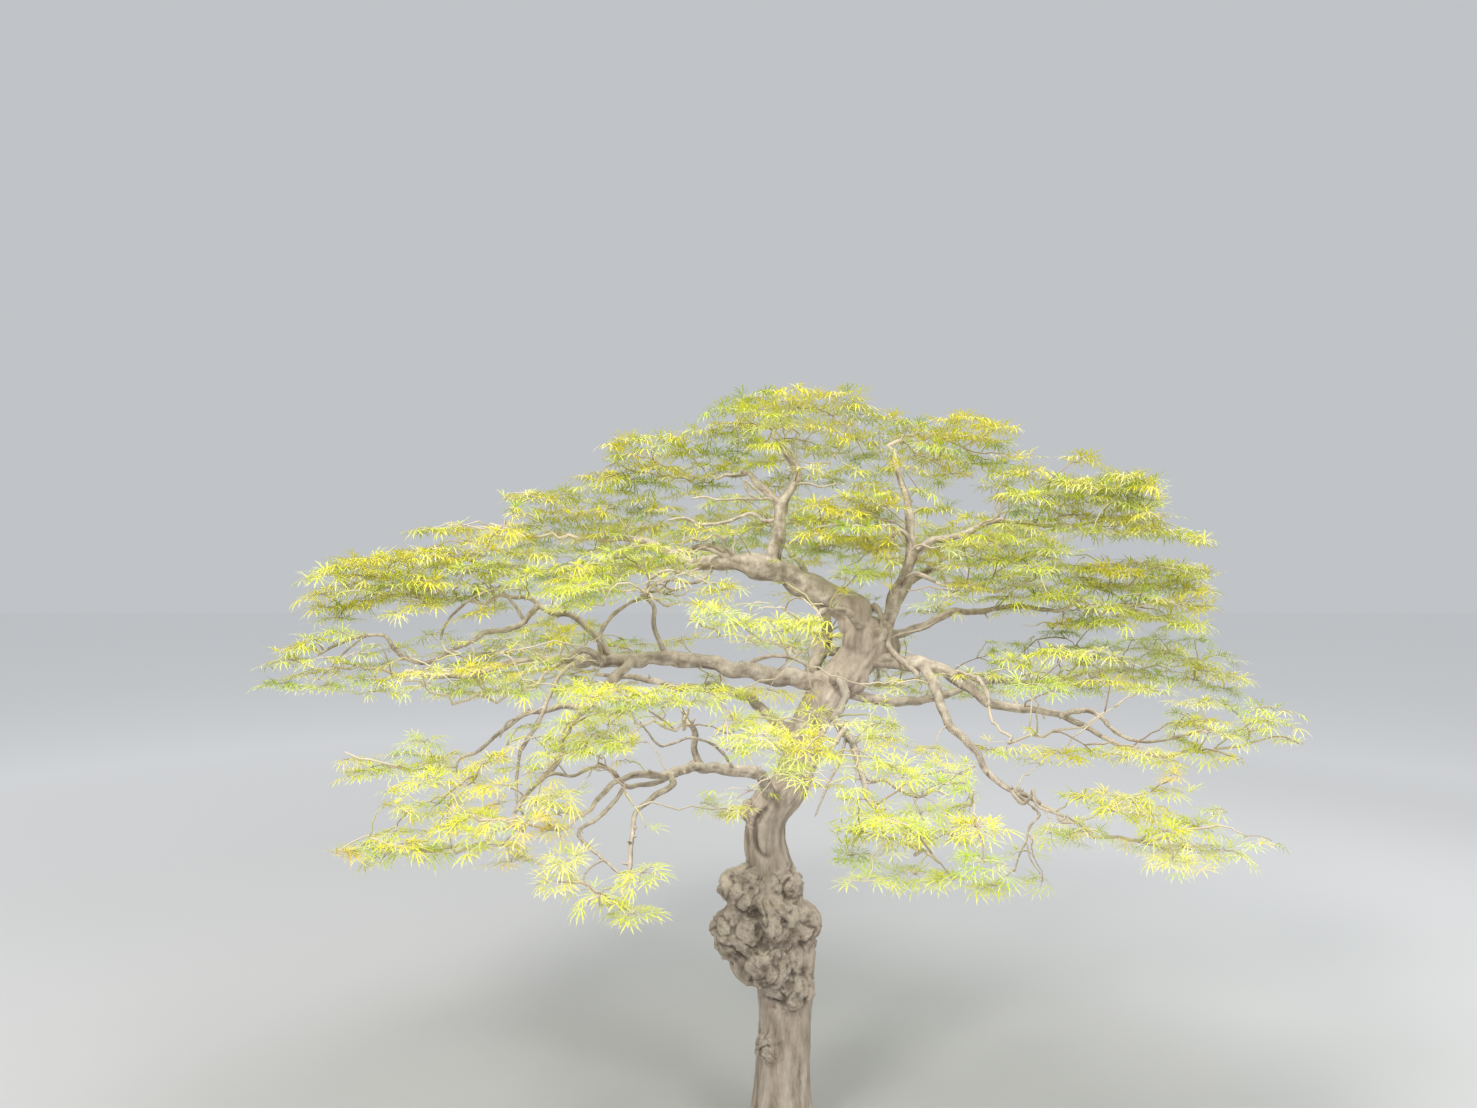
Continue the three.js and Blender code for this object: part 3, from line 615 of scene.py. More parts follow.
BRANCHLETS = {
    "left_tip_line": Branchlet("bough_left_upper", (
        (538, 606), (530, 614), (520, 625), (505, 630), (485, 632), (475, 640), (455, 648), (430, 662),
        (410, 660), (395, 650), (385, 636), (365, 636), (345, 641), (318, 655)), -260, 9.5, 4.0,
        "bough_left_main"),
    "left_tip_cross": Branchlet("left_tip_line", (
        (525, 620), (515, 606), (500, 590), (480, 594), (462, 606), (447, 622), (440, 640)), -120, 5.5,
        3.0),
    "left_tip_twig": Branchlet("left_tip_line", (
        (365, 636), (345, 652), (330, 668), (318, 680)), -290, 3.4, 2.0),
    "left_drop_line": Branchlet("bough_left_main", (
        (600, 655), (580, 662), (562, 672), (552, 690), (545, 706), (537, 725), (528, 738), (520, 752)),
        -290, 8.5, 6.0, "bough_left_low"),
    "left_drop_end": Branchlet("left_drop_line", (
        (520, 752), (517, 775), (517, 800), (525, 818)), -400, 5.0, 3.0),
    "left_drop_twig": Branchlet("left_drop_line", (
        (545, 706), (525, 716), (508, 722), (500, 738)), -330, 3.4, 2.2),
    "loop_rise": Branchlet("bough_left_main", (
        (603, 655), (600, 636), (610, 618), (625, 606), (640, 599), (655, 598), (666, 606), (680, 601)),
        -60, 7.0, 4.0),
    "loop_high": Branchlet("loop_rise", (
        (640, 599), (650, 588), (662, 584), (672, 590), (690, 586)), -70, 5.0, 3.2),
    "loop_low": Branchlet("loop_rise", (
        (640, 599), (652, 578), (668, 570), (684, 573), (700, 568)), -20, 5.4, 3.2),
    "leader_curl": Branchlet("leader_left", (
        (735, 562), (722, 555), (705, 548), (690, 553), (676, 549)), -30, 7.0, 3.6),
    "leader_hook": Branchlet("leader_left", (
        (742, 564), (729, 552), (724, 540), (714, 535), (704, 541), (690, 538)), -40, 4.4, 2.6),
    "leader_low_curl": Branchlet("leader_left", (
        (715, 566), (706, 577), (690, 583), (672, 580), (655, 584), (640, 592)), -60, 6.0, 3.0),
    "top_left_line": Branchlet("bough_top", (
        (780, 519), (764, 521), (753, 514), (740, 517), (722, 523), (700, 524), (685, 518), (668, 520)), 20,
        6.5, 3.4),
    "top_left_high": Branchlet("bough_top", (
        (783, 505), (768, 499), (756, 499), (747, 490), (744, 480), (752, 486), (764, 497)), 20, 5.2, 3.4),
    "top_left_wave": Branchlet("top_left_high", (
        (756, 499), (738, 499), (720, 500), (704, 497), (690, 499)), 40, 4.2, 2.4),
    "top_right_line": Branchlet("bough_top", (
        (786, 492), (797, 484), (810, 484), (822, 487), (838, 483)), 10, 4.4, 2.4),
    "top_spike": Branchlet("bough_top", (
        (792, 478), (791, 466), (795, 455), (792, 444), (798, 432)), 120, 5.0, 2.6),
    "bough_arch": Branchlet("bough_left_main", (
        (742, 671), (754, 661), (770, 656), (788, 657), (802, 662), (812, 671), (817, 681)), 0, 6.5, 5.0),
    "bough_arch_twig": Branchlet("bough_arch", ((788, 657), (784, 664), (778, 670)), -30, 3.2, 2.0),
    "fork_line": Branchlet("trunk", (
        (862, 600), (874, 606), (882, 618), (890, 629), (889, 646), (897, 656), (907, 664), (920, 677)),
        -118, 9.5, 9.0),
    "fork_twig": Branchlet("fork_line", (
        (886, 640), (900, 634), (918, 630), (936, 622), (950, 610)), -160, 3.6, 2.2),
    "right_curl": Branchlet("leader_right", (
        (908, 562), (912, 550), (921, 545), (932, 548), (942, 546)), -60, 4.6, 2.6),
    "right_high_curl": Branchlet("leader_right", (
        (909, 538), (903, 528), (894, 522), (882, 520), (872, 514), (860, 511)), -70, 4.6, 2.6),
    "right_drop_line": Branchlet("bough_front", (
        (848, 742), (857, 766), (868, 781), (885, 780), (900, 790), (918, 797), (935, 790), (950, 796)),
        -780, 6.5, 3.0, "bough_front"),
    "right_drop_twig": Branchlet("bough_front", (
        (846, 735), (838, 765), (829, 781), (822, 799), (815, 816)), -640, 4.4, 2.4),
    "right_long_line": Branchlet("bough_right_front", (
        (1058, 715), (1075, 711), (1090, 711), (1102, 718), (1110, 727), (1122, 736), (1137, 741),
        (1160, 741), (1185, 735), (1215, 728)), -400, 9.0, 3.0),
    "right_low_kink": Branchlet("bough_right_low", (
        (1010, 789), (1022, 803), (1031, 797), (1033, 790), (1037, 805), (1050, 811), (1068, 818)), -600,
        6.0, 3.0, "bough_right_low"),
    "right_hanging_line": Branchlet("bough_right_low", (
        (1012, 792), (1032, 806), (1039, 815), (1030, 826), (1026, 840), (1019, 856), (1014, 872)), -520,
        4.6, 2.2, "bough_right_low"),
    "right_hanging_twig": Branchlet("right_hanging_line", (
        (1026, 840), (1030, 858), (1040, 874)), -540, 2.6, 1.6),
    "front_wave_line": Branchlet("bough_front_left", (
        (690, 769), (673, 776), (655, 783), (640, 785), (625, 786), (613, 772), (600, 766), (586, 770),
        (572, 776), (552, 774), (535, 786), (520, 798)), -700, 7.5, 3.2, "bough_front_left"),
    "front_drop_line": Branchlet("front_wave_line", (
        (625, 786), (613, 803), (597, 819), (578, 832), (590, 848), (604, 860), (620, 874)), -1010, 6.0,
        2.8, "bough_front_hanging"),
    "front_drop_twig": Branchlet("front_drop_line", (
        (604, 860), (592, 866), (584, 878), (590, 892)), -1040, 2.8, 1.8),
    "front_rise_line": Branchlet("bough_front_left", (
        (735, 771), (722, 752), (708, 742), (690, 738), (672, 744), (660, 746), (650, 735), (640, 722)),
        -640, 4.8, 2.4),
}


def through(points: Array, steps: int) -> Array:
    """Returns a smooth way through points.

    Args:
        points: The points, in order.
        steps: How many parts each stretch gets.

    Returns:
        The way's points.
    """
    padded = np.concatenate([2 * points[:1] - points[1:2], points, 2 * points[-1:] - points[-2:-1]])
    t = np.linspace(0, 1, steps, endpoint=False)[:, None]
    parts = []
    for a, b, c, d in zip(padded, padded[1:], padded[2:], padded[3:]):
        curve = 2 * b + (c - a) * t + (2 * a - 5 * b + 4 * c - d) * t**2 + (3 * b - a - 3 * c + d) * t**3
        parts.append(0.5 * curve)
    return np.concatenate([*parts, points[-1:]])


@dataclass
class ShownWay:
    """Wood that shows in the photograph: its way, half thickness and the share of leaves kept before it."""

    way: Array
    radii: Array
    kept: float
    margin: float = 3.5

    def __post_init__(self) -> None:
        """Works out where it shows."""
        self.pixels = PHOTO.pixels(self.way)
        self.reach = self.radii / (self.way[:, 1] - PHOTO.eye[1]) * PHOTO.focal + self.margin

    def hidden_by(self, pixels: Array, points: Array) -> npt.NDArray[np.bool_]:
        """Finds the leaves that lie before this wood in the photograph's view.

        Args:
            pixels: The pixels of several points of each leaf.
            points: The same points, in millimetres.

        Returns:
            Whether each leaf does.
        """
        hides = np.zeros(len(points), dtype=bool)
        low, high = self.pixels.min(axis=0) - 12, self.pixels.max(axis=0) + 12
        near = np.flatnonzero(((pixels > low) & (pixels < high)).all(-1).any(-1))
        if len(near):
            gaps = np.linalg.norm(pixels[near][:, :, None] - self.pixels, axis=-1) - self.reach
            ahead = points[near][:, :, None, 1] < self.way[:, 1]
            hides[near] = ((gaps < 0) & ahead).any((1, 2))
        return hides


SHOWN = {
    "leader_left": (0.3, 0.62), "leader_right": (0.4, 0.7), "bough_left_main": (0.15, 0.54),
    "bough_right_front": (0.25, 0.8), "bough_right_back": (0.4, 0.36), "bough_right_low": (0.3, 1.0),
    "bough_front": (0.45, 0.8), "bough_front_left": (0.4, 0.7), "bough_left_upper": (0.5, 0.5),
    "bough_top": (0.6, 0.5), "bough_right_shoulder": (0.4, 0.4),
}


class Skeleton:
    """The lines and spaces that the whole tree grows by."""

    BONE_STEPS = 12
    BRANCHLET_KEPT = 0.3

    def __init__(self) -> None:
        """Grows the trunk's line, each limb's line and each pad's space."""
        self.trunk = TrunkLine()
        self.limbs: dict[str, LimbLine] = {}
        lines: dict[str, TrunkLine | LimbLine] = {"trunk": self.trunk}
        for index, row in enumerate(LIMB_ROWS):
            pad = PadSpace(row.pad, index + 1)
            self.limbs[row.name] = LimbLine(row, index + 1, lines[row.parent], pad)
            lines[row.name] = self.limbs[row.name]
        shares = np.linspace(0, 1, self.BONE_STEPS + 1)
        fine = np.linspace(0, 1, 8 * self.BONE_STEPS)
        points = [line.points(shares) for line in lines.values()]
        radii = [line.radii(shares) for line in lines.values()]
        routes = {name: line.points(fine) for name, line in lines.items()}
        self.shown: list[ShownWay] = []
        for name, (kept, until) in SHOWN.items():
            seen = fine <= until
            self.shown.append(ShownWay(routes[name][seen], lines[name].radii(fine)[seen], kept))
        self.branchlets: dict[str, Array] = {}
        for name, row in BRANCHLETS.items():
            way = row.way(routes[row.parent])
            routes[name] = self.branchlets[name] = way
            points.append(way)
            radii.append(row.radii(way))
            self.shown.append(ShownWay(way, row.radii(way), self.BRANCHLET_KEPT))
        self.bone_from = np.concatenate([p[:-1] for p in points])
        self.bone_way = np.concatenate([p[1:] - p[:-1] for p in points])
        self.bone_radius = np.concatenate([np.maximum(r[:-1], r[1:]) for r in radii])

    def clearance(self, points: Array) -> Array:
        """Measures the room between points and the wood.

        Args:
            points: Points in millimetres.

        Returns:
            How far each point lies from the skin of the nearest limb.
        """
        gap = points[:, None, :] - self.bone_from
        share = np.clip((gap * self.bone_way).sum(-1) / (self.bone_way**2).sum(-1), 0, 1)
        away = np.linalg.norm(gap - share[..., None] * self.bone_way, axis=-1)
        return (away - self.bone_radius).min(axis=1)

    def children(self, name: str) -> list[LimbLine]:
        """Returns the limbs that leave a parent."""
        return [limb for limb in self.limbs.values() if limb.row.parent == name]


class NodeSheet:
    """A material's node tree, with short ways to add nodes and feed them."""

    def __init__(self, name: str) -> None:
        """Makes a material with its Principled shader.

        Args:
            name: The material's name.
        """
        self.material = bpy.data.materials.new(name)
        self.material.use_nodes = True
        self.tree = self.material.node_tree
        self.shader = self.tree.nodes["Principled BSDF"]

    def feed(self, node: Node, values: Inputs) -> None:
        """Sets a node's inputs.

        Args:
            node: The node.
            values: A value, a colour or a socket for each input.
        """
        for name, value in values.items():
            if isinstance(value, Socket):
                self.tree.links.new(value, node.inputs[name])
            else:
                node.inputs[name].default_value = (*value, 1.0) if node.inputs[name].type == "RGBA" else value

    def add(self, kind: str, values: Inputs | None = None, **settings: object) -> Node:
        """Adds a node.

        Args:
            kind: The node's type.
            values: What its inputs take.
            settings: What its properties are set to.

        Returns:
            The node.
        """
        node = self.tree.nodes.new(kind)
        for name, value in settings.items():
            setattr(node, name, value)
        self.feed(node, values or {})
        return node

    def stretched(self, scale: tuple[float, float, float]) -> Socket:
        """Returns object coordinates scaled along each axis."""
        even = self.add("ShaderNodeTexCoord").outputs["Object"]
        return self.add("ShaderNodeMapping", {"Vector": even, "Scale": scale}).outputs["Vector"]

    def grain(self, vector: Socket, scale: float, detail: float, rough: float) -> Socket:
        """Returns a noise pattern's strength."""
        values = {"Vector": vector, "Scale": scale, "Detail": detail, "Roughness": rough}
        return self.add("ShaderNodeTexNoise", values).outputs["Fac"]

    def ramp(self, factor: Socket, stops: list[tuple[float, Colour]]) -> Socket:
        """Deals out colours by a factor.

        Args:
            factor: The factor's socket.
            stops: Places from 0 to 1, each with its colour.

        Returns:
            The colour's socket.
        """
        node = self.add("ShaderNodeValToRGB", {"Fac": factor})
        elements = node.color_ramp.elements
        while len(elements) < len(stops):
            elements.new(0.5)
        for element, (position, colour) in zip(elements, stops):
            element.position = position
            element.color = (*colour, 1.0)
        return node.outputs["Color"]

    def blend(self, factor: Socket, first: Socket | Colour, second: Socket | Colour) -> Socket:
        """Mixes two colours.

        Args:
            factor: The share of the second.
            first: A colour or its socket.
            second: A colour or its socket.

        Returns:
            The colour's socket.
        """
        node = self.add("ShaderNodeMix", {"Factor": factor}, data_type="RGBA")
        places = [number for number, socket in enumerate(node.inputs) if socket.type == "RGBA"]
        self.feed(node, dict(zip(places, (first, second))))
        return next(socket for socket in node.outputs if socket.type == "RGBA")

    def span(self, value: Socket, low: float, high: float, to: tuple[float, float]) -> Socket:
        """Returns a value mapped from low..high onto another span, and held inside it."""
        values = {"Value": value, "From Min": low, "From Max": high, "To Min": to[0], "To Max": to[1]}
        return self.add("ShaderNodeMapRange", values).outputs["Result"]

    def finished(self, values: Inputs) -> Material:
        """Feeds the shader and returns the material."""
        self.feed(self.shader, values)
        return self.material


@dataclass(frozen=True)
class BarkFinish:
    """Old or young bark: its colours, and how strongly the relief shades it."""

    name: str
    pale: Colour
    middle: Colour
    dark: Colour
    lichen: Colour
    lichen_share: float
    stretch: tuple[float, float, float]
    grain: float
    bump: float = 0.004
    burl_cells: float = 0.0

    def make(self) -> Material:
        """Returns mottled bark, with painted shade in its hollows, painted light on its ridges and painted
        light on its upper sides.
        """
        sheet = NodeSheet(self.name)
        even = sheet.stretched((1, 1, 1))
        long = sheet.stretched(self.stretch)
        mottle = sheet.grain(long, self.grain, 6, 0.62)
        patches = sheet.grain(even, 7, 3, 0.55)
        relief = sheet.add("ShaderNodeAttribute", attribute_name="relief").outputs["Fac"]
        normal = sheet.add("ShaderNodeNewGeometry").outputs["Normal"]
        upward_painted_light = sheet.add("ShaderNodeSeparateXYZ", {"Vector": normal}).outputs["Z"]
        colour = sheet.ramp(mottle, [(0.3, self.dark), (0.5, self.middle), (0.68, self.pale)])
        colour = sheet.blend(sheet.span(patches, 0.52, 0.68, (0.0, self.lichen_share)), colour, self.lichen)
        # Painted shade: where the relief sinks, the bark's hollows are darkened towards a deep brown.
        crevice_painted_shade = tuple(0.5 * c for c in self.dark)
        colour = sheet.blend(sheet.span(relief, -0.8, 0.0, (0.7, 0.0)), colour, crevice_painted_shade)
        # Painted light: where the relief stands out, the ridges are lightened towards the pale colour.
        colour = sheet.blend(sheet.span(relief, 0.25, 0.9, (0.0, 0.4)), colour, self.pale)
        # Painted light: faces that look upwards are lightened towards the pale colour, as if lit from above.
        colour = sheet.blend(sheet.span(upward_painted_light, 0.1, 0.9, (0.0, 0.45)), colour, self.pale)
        fine = sheet.grain(long, self.grain * 4.5, 8, 0.7)
        if self.burl_cells:
            fine = self.popcorn(sheet, even, fine)
        bump = sheet.add("ShaderNodeBump", {"Strength": 0.7, "Distance": self.bump, "Height": fine})
        rough = sheet.span(mottle, 0.3, 0.7, (0.95, 0.78))
        looks = {"Base Color": colour, "Normal": bump.outputs["Normal"], "Roughness": rough}
        return sheet.finished(looks | {"Specular IOR Level": 0.25})

    def popcorn(self, sheet: NodeSheet, vector: Socket, fine: Socket) -> Socket:
        """Adds small round grains to the fine relief on the burls.

        Args:
            sheet: The material's nodes.
            vector: The coordinates that the grains follow.
            fine: The fine relief.

        Returns:
            The relief with its grains.
        """
        burl = sheet.add("ShaderNodeAttribute", attribute_name="burl").outputs["Fac"]
        cells = sheet.add("ShaderNodeTexVoronoi", {"Vector": vector, "Scale": self.burl_cells})
        factors = {0: cells.outputs["Distance"], 1: burl}
        grains = sheet.add("ShaderNodeMath", factors, operation="MULTIPLY").outputs["Value"]
        return sheet.add("ShaderNodeMath", {0: fine, 1: grains}, operation="SUBTRACT").outputs["Value"]


@dataclass(frozen=True)
class PlainFinish:
    """A finish with one even base colour, for leaves and fine twigs."""

    name: str
    colour: Colour
    roughness: float
    sheen: float = 0.0

    def make(self) -> Material:
        """Returns the material."""
        looks = {"Roughness": self.roughness, "Specular IOR Level": 0.3, "Sheen Weight": self.sheen}
        return NodeSheet(self.name).finished({"Base Color": self.colour} | looks)


class Tint(Enum):
    """How a spray is coloured: the heart of its leaves, and their paler lobe tips."""

    GOLD = ((0.78, 0.71, 0.03), (0.83, 0.80, 0.17))
    LEMON = ((0.66, 0.70, 0.04), (0.78, 0.80, 0.23))
    LIME = ((0.42, 0.54, 0.05), (0.64, 0.71, 0.22))
    PALE = ((0.58, 0.65, 0.13), (0.78, 0.80, 0.36))
    CREAM = ((0.75, 0.72, 0.13), (0.85, 0.82, 0.4))
    AMBER = ((0.80, 0.64, 0.09), (0.85, 0.71, 0.3))

    def materials(self) -> list[Material]:
        """Returns the materials of a leaf's heart and its tips."""
        names = [f"leaf_{self.name.lower()}_{part}" for part in ("heart", "tip")]
        return [PlainFinish(*looks, 0.1).make() for looks in zip(names, self.value, (0.5, 0.55))]


OLD_BARK = BarkFinish(
    name="old_bark",
    pale=(0.7, 0.61, 0.51),
    middle=(0.52, 0.43, 0.35),
    dark=(0.26, 0.2, 0.155),
    lichen=(0.46, 0.43, 0.31),
    lichen_share=0.3,
    stretch=(1, 1, 0.3),
    grain=26,
    bump=0.009,
    burl_cells=115,
)
YOUNG_BARK = BarkFinish(
    name="young_bark",
    pale=(0.74, 0.66, 0.55),
    middle=(0.5, 0.42, 0.335),
    dark=(0.26, 0.2, 0.15),
    lichen=(0.5, 0.48, 0.35),
    lichen_share=0.25,
    stretch=(1, 1, 1),
    grain=38,
)
TWIG_FINISHES = (
    PlainFinish("twig_pale", (0.66, 0.57, 0.44), 0.75),
    PlainFinish("twig_brown", (0.46, 0.35, 0.25), 0.75),
    PlainFinish("twig_green", (0.6, 0.58, 0.28), 0.65),
)
GOLD, LEMON, LIME, LIGHT, CREAM, AMBER = Tint


def smooth_points(points: Array, edges: Numbers, rounds: int, share: float) -> Array:
    """Moves each point towards the mean of its neighbours.

    Args:
        points: The mesh's points.
        edges: Pairs of point numbers.
        rounds: How often it is done.
        share: How far each point moves.

    Returns:
        The moved points.
    """
    count = np.bincount(edges.ravel(), minlength=len(points))[:, None]
    for _ in range(rounds):
        total = np.zeros_like(points)
        for axis in range(3):
            total[:, axis] += np.bincount(edges[:, 0], points[edges[:, 1], axis], len(points))
            total[:, axis] += np.bincount(edges[:, 1], points[edges[:, 0], axis], len(points))
        points = points + share * (total / np.maximum(count, 1) - points)
    return points


def tube(points: Array, radii: Array, sides: int) -> Part:
    """Makes a closed tube along a way.

    Args:
        points: The middle line.
        radii: Half thicknesses: one a ring, or one for each ring and side.
        sides: Corners of each ring.

    Returns:
        Its corners and its triangles.
    """
    aims = unit(np.gradient(points, axis=0))
    guide = np.array([0.0, 0.0, 1.0]) if abs(aims[0][2]) < 0.9 else np.array([1.0, 0.0, 0.0])
    normals = np.empty_like(points)
    for i, aim in enumerate(aims):
        guide = unit(guide - aim * (guide @ aim))
        normals[i] = guide
    across = np.cross(aims, normals)
    turns = np.linspace(0, 2 * math.pi, sides, endpoint=False)
    sizes = radii if radii.ndim == 2 else np.repeat(radii[:, None], sides, axis=1)
    ring = np.cos(turns)[None, :, None] * normals[:, None] + np.sin(turns)[None, :, None] * across[:, None]
    corners = (points[:, None] + ring * sizes[..., None]).reshape(-1, 3)
    base = (np.arange(len(points) - 1) * sides)[:, None]
    here = np.arange(sides)[None, :]
    on = (here + 1) % sides
    a, b, c, d = base + here, base + on, base + on + sides, base + here + sides
    faces = np.concatenate([np.stack([a, b, c], -1).reshape(-1, 3), np.stack([a, c, d], -1).reshape(-1, 3)])
    fan = np.stack([np.zeros(sides - 2, int), np.arange(1, sides - 1), np.arange(2, sides)], -1)
    last = (len(points) - 1) * sides
    return corners, np.concatenate([faces, fan[:, ::-1], fan + last]).astype(np.int32)


class Heap:
    """Meshes gathered into one: corners, triangles and each triangle's slot."""

    def __init__(self) -> None:
        """Starts empty."""
        self.points: list[Array] = []
        self.faces: list[Faces] = []
        self.slots: list[Numbers] = []
        self.count = 0

    def add(self, points: Array, faces: Faces, slot: int | Numbers = 0) -> None:
        """Adds corners and triangles.

        Args:
            points: The corners.
            faces: The triangles, by these corners' numbers.
            slot: One material slot, or each triangle's.
        """
        self.points.append(points)
        self.faces.append(faces + self.count)
        self.slots.append(np.broadcast_to(np.asarray(slot, dtype=np.int32), (len(faces),)))
        self.count += len(points)

    def mesh(self, name: str) -> Mesh:
        """Returns all that was added as one mesh."""
        return new_mesh(name, *(np.concatenate(part) for part in (self.points, self.faces, self.slots)))


@dataclass
class TrunkWood:
    """The trunk with its root flare, flutes, burls, scars and bark, and the roots of its boughs."""

    skeleton: Skeleton
    voxel: float = 4.6
    ring_gap: float = 9.0
    sides: int = 96
    flare_spread: float = 34.0
    flare_rise: float = 70.0
    flare_toes: int = 5
    flare_lobing: float = 0.4
    flute: float = 0.05
    knob_size: float = 0.42
    knobs_each: int = 9
    stub_length: float = 150.0
    round_top: float = 58.0
    scars: tuple[Lump, ...] = (Lump(279, 936, 60, 48), Lump(300, 770, 96, 26))
    swellings: tuple[Lump, ...] = (
        Lump(200, 1508, 24, 64), Lump(-14, 1488, 42, 64), Lump(-40, 1400, 34, 54), Lump(184, 1566, 40, 56),
        Lump(-60, 1330, 24, 52), Lump(160, 1230, 22, 48), Lump(197, 548, 96, 74), Lump(174, 1022, 16, 60),
        Lump(-8, 650, 58, 72),
    )
    pits: tuple[Lump, ...] = (Lump(288, 464, 92, 17), Lump(243, 601, 112, 16), Lump(228, 700, 110, 14))

    def shaft(self) -> Part:
        """Returns the fluted shaft with its root flare."""
        shares = np.linspace(0, 1, int(TRUNK_TOP / self.ring_gap))
        turns = np.linspace(0, 2 * math.pi, self.sides, endpoint=False)
        points = self.skeleton.trunk.points(shares)
        s, turn = shares[:, None], turns[None, :]
        toes = 1 + self.flare_lobing * np.cos(self.flare_toes * turn)
        flare = self.flare_spread * toes * np.exp(-s * TRUNK_TOP / self.flare_rise)
        flutes = 1 + self.flute * np.sin(3 * turn + 5 * s) + 0.5 * self.flute * np.sin(7 * turn - 9 * s)
        radii = self.skeleton.trunk.radii(shares)[:, None] * flutes + flare
        top = np.clip(1 - (TRUNK_TOP - s * TRUNK_TOP) / self.round_top, 0, 1)
        return tube(points, radii * np.sqrt(1 - 0.85 * top**2), self.sides)

    def lumps(self) -> list[tuple[Array, float]]:
        """Returns the middle and size of each burl, of the knobs on it and of each swelling."""
        rng = np.random.default_rng(5)
        found: list[tuple[Array, float]] = []
        for burl in BURLS:
            middle = self.skeleton.trunk.beside(burl)
            found.append((middle, burl.size * 0.94))
            for _ in range(self.knobs_each):
                way = unit(rng.normal(size=3) + 0.9 * place(burl.heading, 1, 0))
                size = burl.size * self.knob_size * rng.uniform(0.6, 1.25)
                found.append((middle + way * (burl.size * 1.02 - size * 0.72), size))
        for lump in self.swellings:
            found.append((self.skeleton.trunk.beside(lump), lump.size))
        return found

    def stubs(self) -> list[Part]:
        """Returns the roots of the boughs that leave the trunk, which blend into it."""
        found = []
        for limb in self.skeleton.children("trunk"):
            shares = np.linspace(0, min(0.5, self.stub_length / limb.length), 16)
            fade = 1.05 - 0.12 * shares / shares[-1]
            found.append(tube(limb.points(shares), rooted(limb, shares) * fade, 28))
        return found

    def merged(self) -> Mesh:
        """Returns the shaft, lumps and stubs fused into one even skin by a voxel remesh."""
        heap = Heap()
        heap.add(*self.shaft())
        for stub in self.stubs():
            heap.add(*stub)
        ball_points, ball_faces = ball(4)
        for middle, size in self.lumps():
            heap.add(ball_points * size + middle, ball_faces)
        rough = bpy.data.objects.new("trunk_rough", heap.mesh("trunk_rough"))
        bpy.context.scene.collection.objects.link(rough)
        remesh = rough.modifiers.new("even_skin", "REMESH")
        remesh.mode = "VOXEL"
        remesh.voxel_size = self.voxel * MM
        bpy.context.view_layer.update()
        graph = bpy.context.evaluated_depsgraph_get()
        skin = bpy.data.meshes.new_from_object(rough.evaluated_get(graph))
        bpy.data.meshes.remove(rough.data)
        return skin

    def burl_share(self, points: Array) -> Array:
        """Works out how burled the skin is.

        Args:
            points: Points in millimetres.

        Returns:
            For each point, 0 away from the burls and 1 on one.
        """
        share = np.zeros(len(points))
        for burl in BURLS:
            middle = self.skeleton.trunk.beside(burl)
            gap = np.linalg.norm(points - middle, axis=1) - burl.size
            share = np.maximum(share, np.clip(1 - gap / 32, 0, 1))
        return share

    def relief(self, points: Array) -> Array:
        """Returns how far the bark stands out at each point, in millimetres.

        Args:
            points: The skin's points, in millimetres.

        Returns:
            The relief: ridges and furrows along the shaft, and grains and pits on the burls.
        """
        shares = np.clip(points[:, 2] / TRUNK_TOP, 0, 1)
        table = np.linspace(0, 1, 120)
        line = self.skeleton.trunk.points(table)
        axis_x, axis_y = np.interp(shares, table, line[:, 0]), np.interp(shares, table, line[:, 1])
        turns = np.arctan2(points[:, 1] - axis_y, points[:, 0] - axis_x)
        burled = self.burl_share(points)
        heights = np.empty(len(points))
        for i, (point, turn, weight) in enumerate(zip(points, turns, burled)):
            c, s, z = math.cos(turn), math.sin(turn), point[2]
            furrow = 4.2 * noise.noise(Vector((3.1 * c, 3.1 * s, z / 230)))
            furrow += 2.2 * noise.noise(Vector((8.5 * c, 8.5 * s, z / 110 + 7)))
            furrow += 1.1 * noise.noise(Vector((21 * c, 21 * s, z / 42 + 3)))
            fold = 2.0 * noise.noise(Vector((1.7 * c, 1.7 * s, z / 17)))
            grains = 0.0
            if weight > 0:
                where = Vector(point)
                near = noise.voronoi(where / 22)[0]
                fine = noise.voronoi(where / 12)[0]
                grains = 5.5 * (0.5 - near[0]) + 7.0 * (0.5 - fine[0]) + 8.0 * noise.noise(where / 48)
                grains += 5.0 * (0.4 - 2 * abs(noise.noise(where / 27 + Vector((3, 1, 8)))))
                grains -= 8.0 * max(0.0, 1 - abs(noise.noise(where / 66 + Vector((5, 9, 2)))) / 0.07)
            heights[i] = (1 - 0.8 * weight) * furrow + 0.6 * fold + weight * grains
        return heights

    def scar_relief(self, points: Array) -> Array:
        """Returns the relief of the healed cuts and of the pits.

        A cut is a shallow oval face with a low lip and a groove round its left. A pit is a small deep hole.

        Args:
            points: The skin's points, in millimetres.

        Returns:
            How far the skin stands out or in at each point.
        """
        total = np.zeros(len(points))
        for scar in self.scars:
            middle = self.skeleton.trunk.beside(scar)
            offset = (points - middle) * [1, 1, 0.62]
            gap = np.linalg.norm(offset, axis=1) / scar.size
            left = np.clip(0.4 - offset[:, 0] / scar.size, 0, 1)
            total += 3.0 * left * np.exp(-((gap - 1.16) / 0.16) ** 2) - 2.0 * np.exp(-((gap / 0.85) ** 4))
            total -= 10.0 * left * np.exp(-((gap - 0.9) / 0.12) ** 2)
        for pit in self.pits:
            middle = self.skeleton.trunk.beside(pit)
            gap = np.linalg.norm(points - middle, axis=1) / pit.size
            total -= 13.0 * np.exp(-(gap**2))
        return total

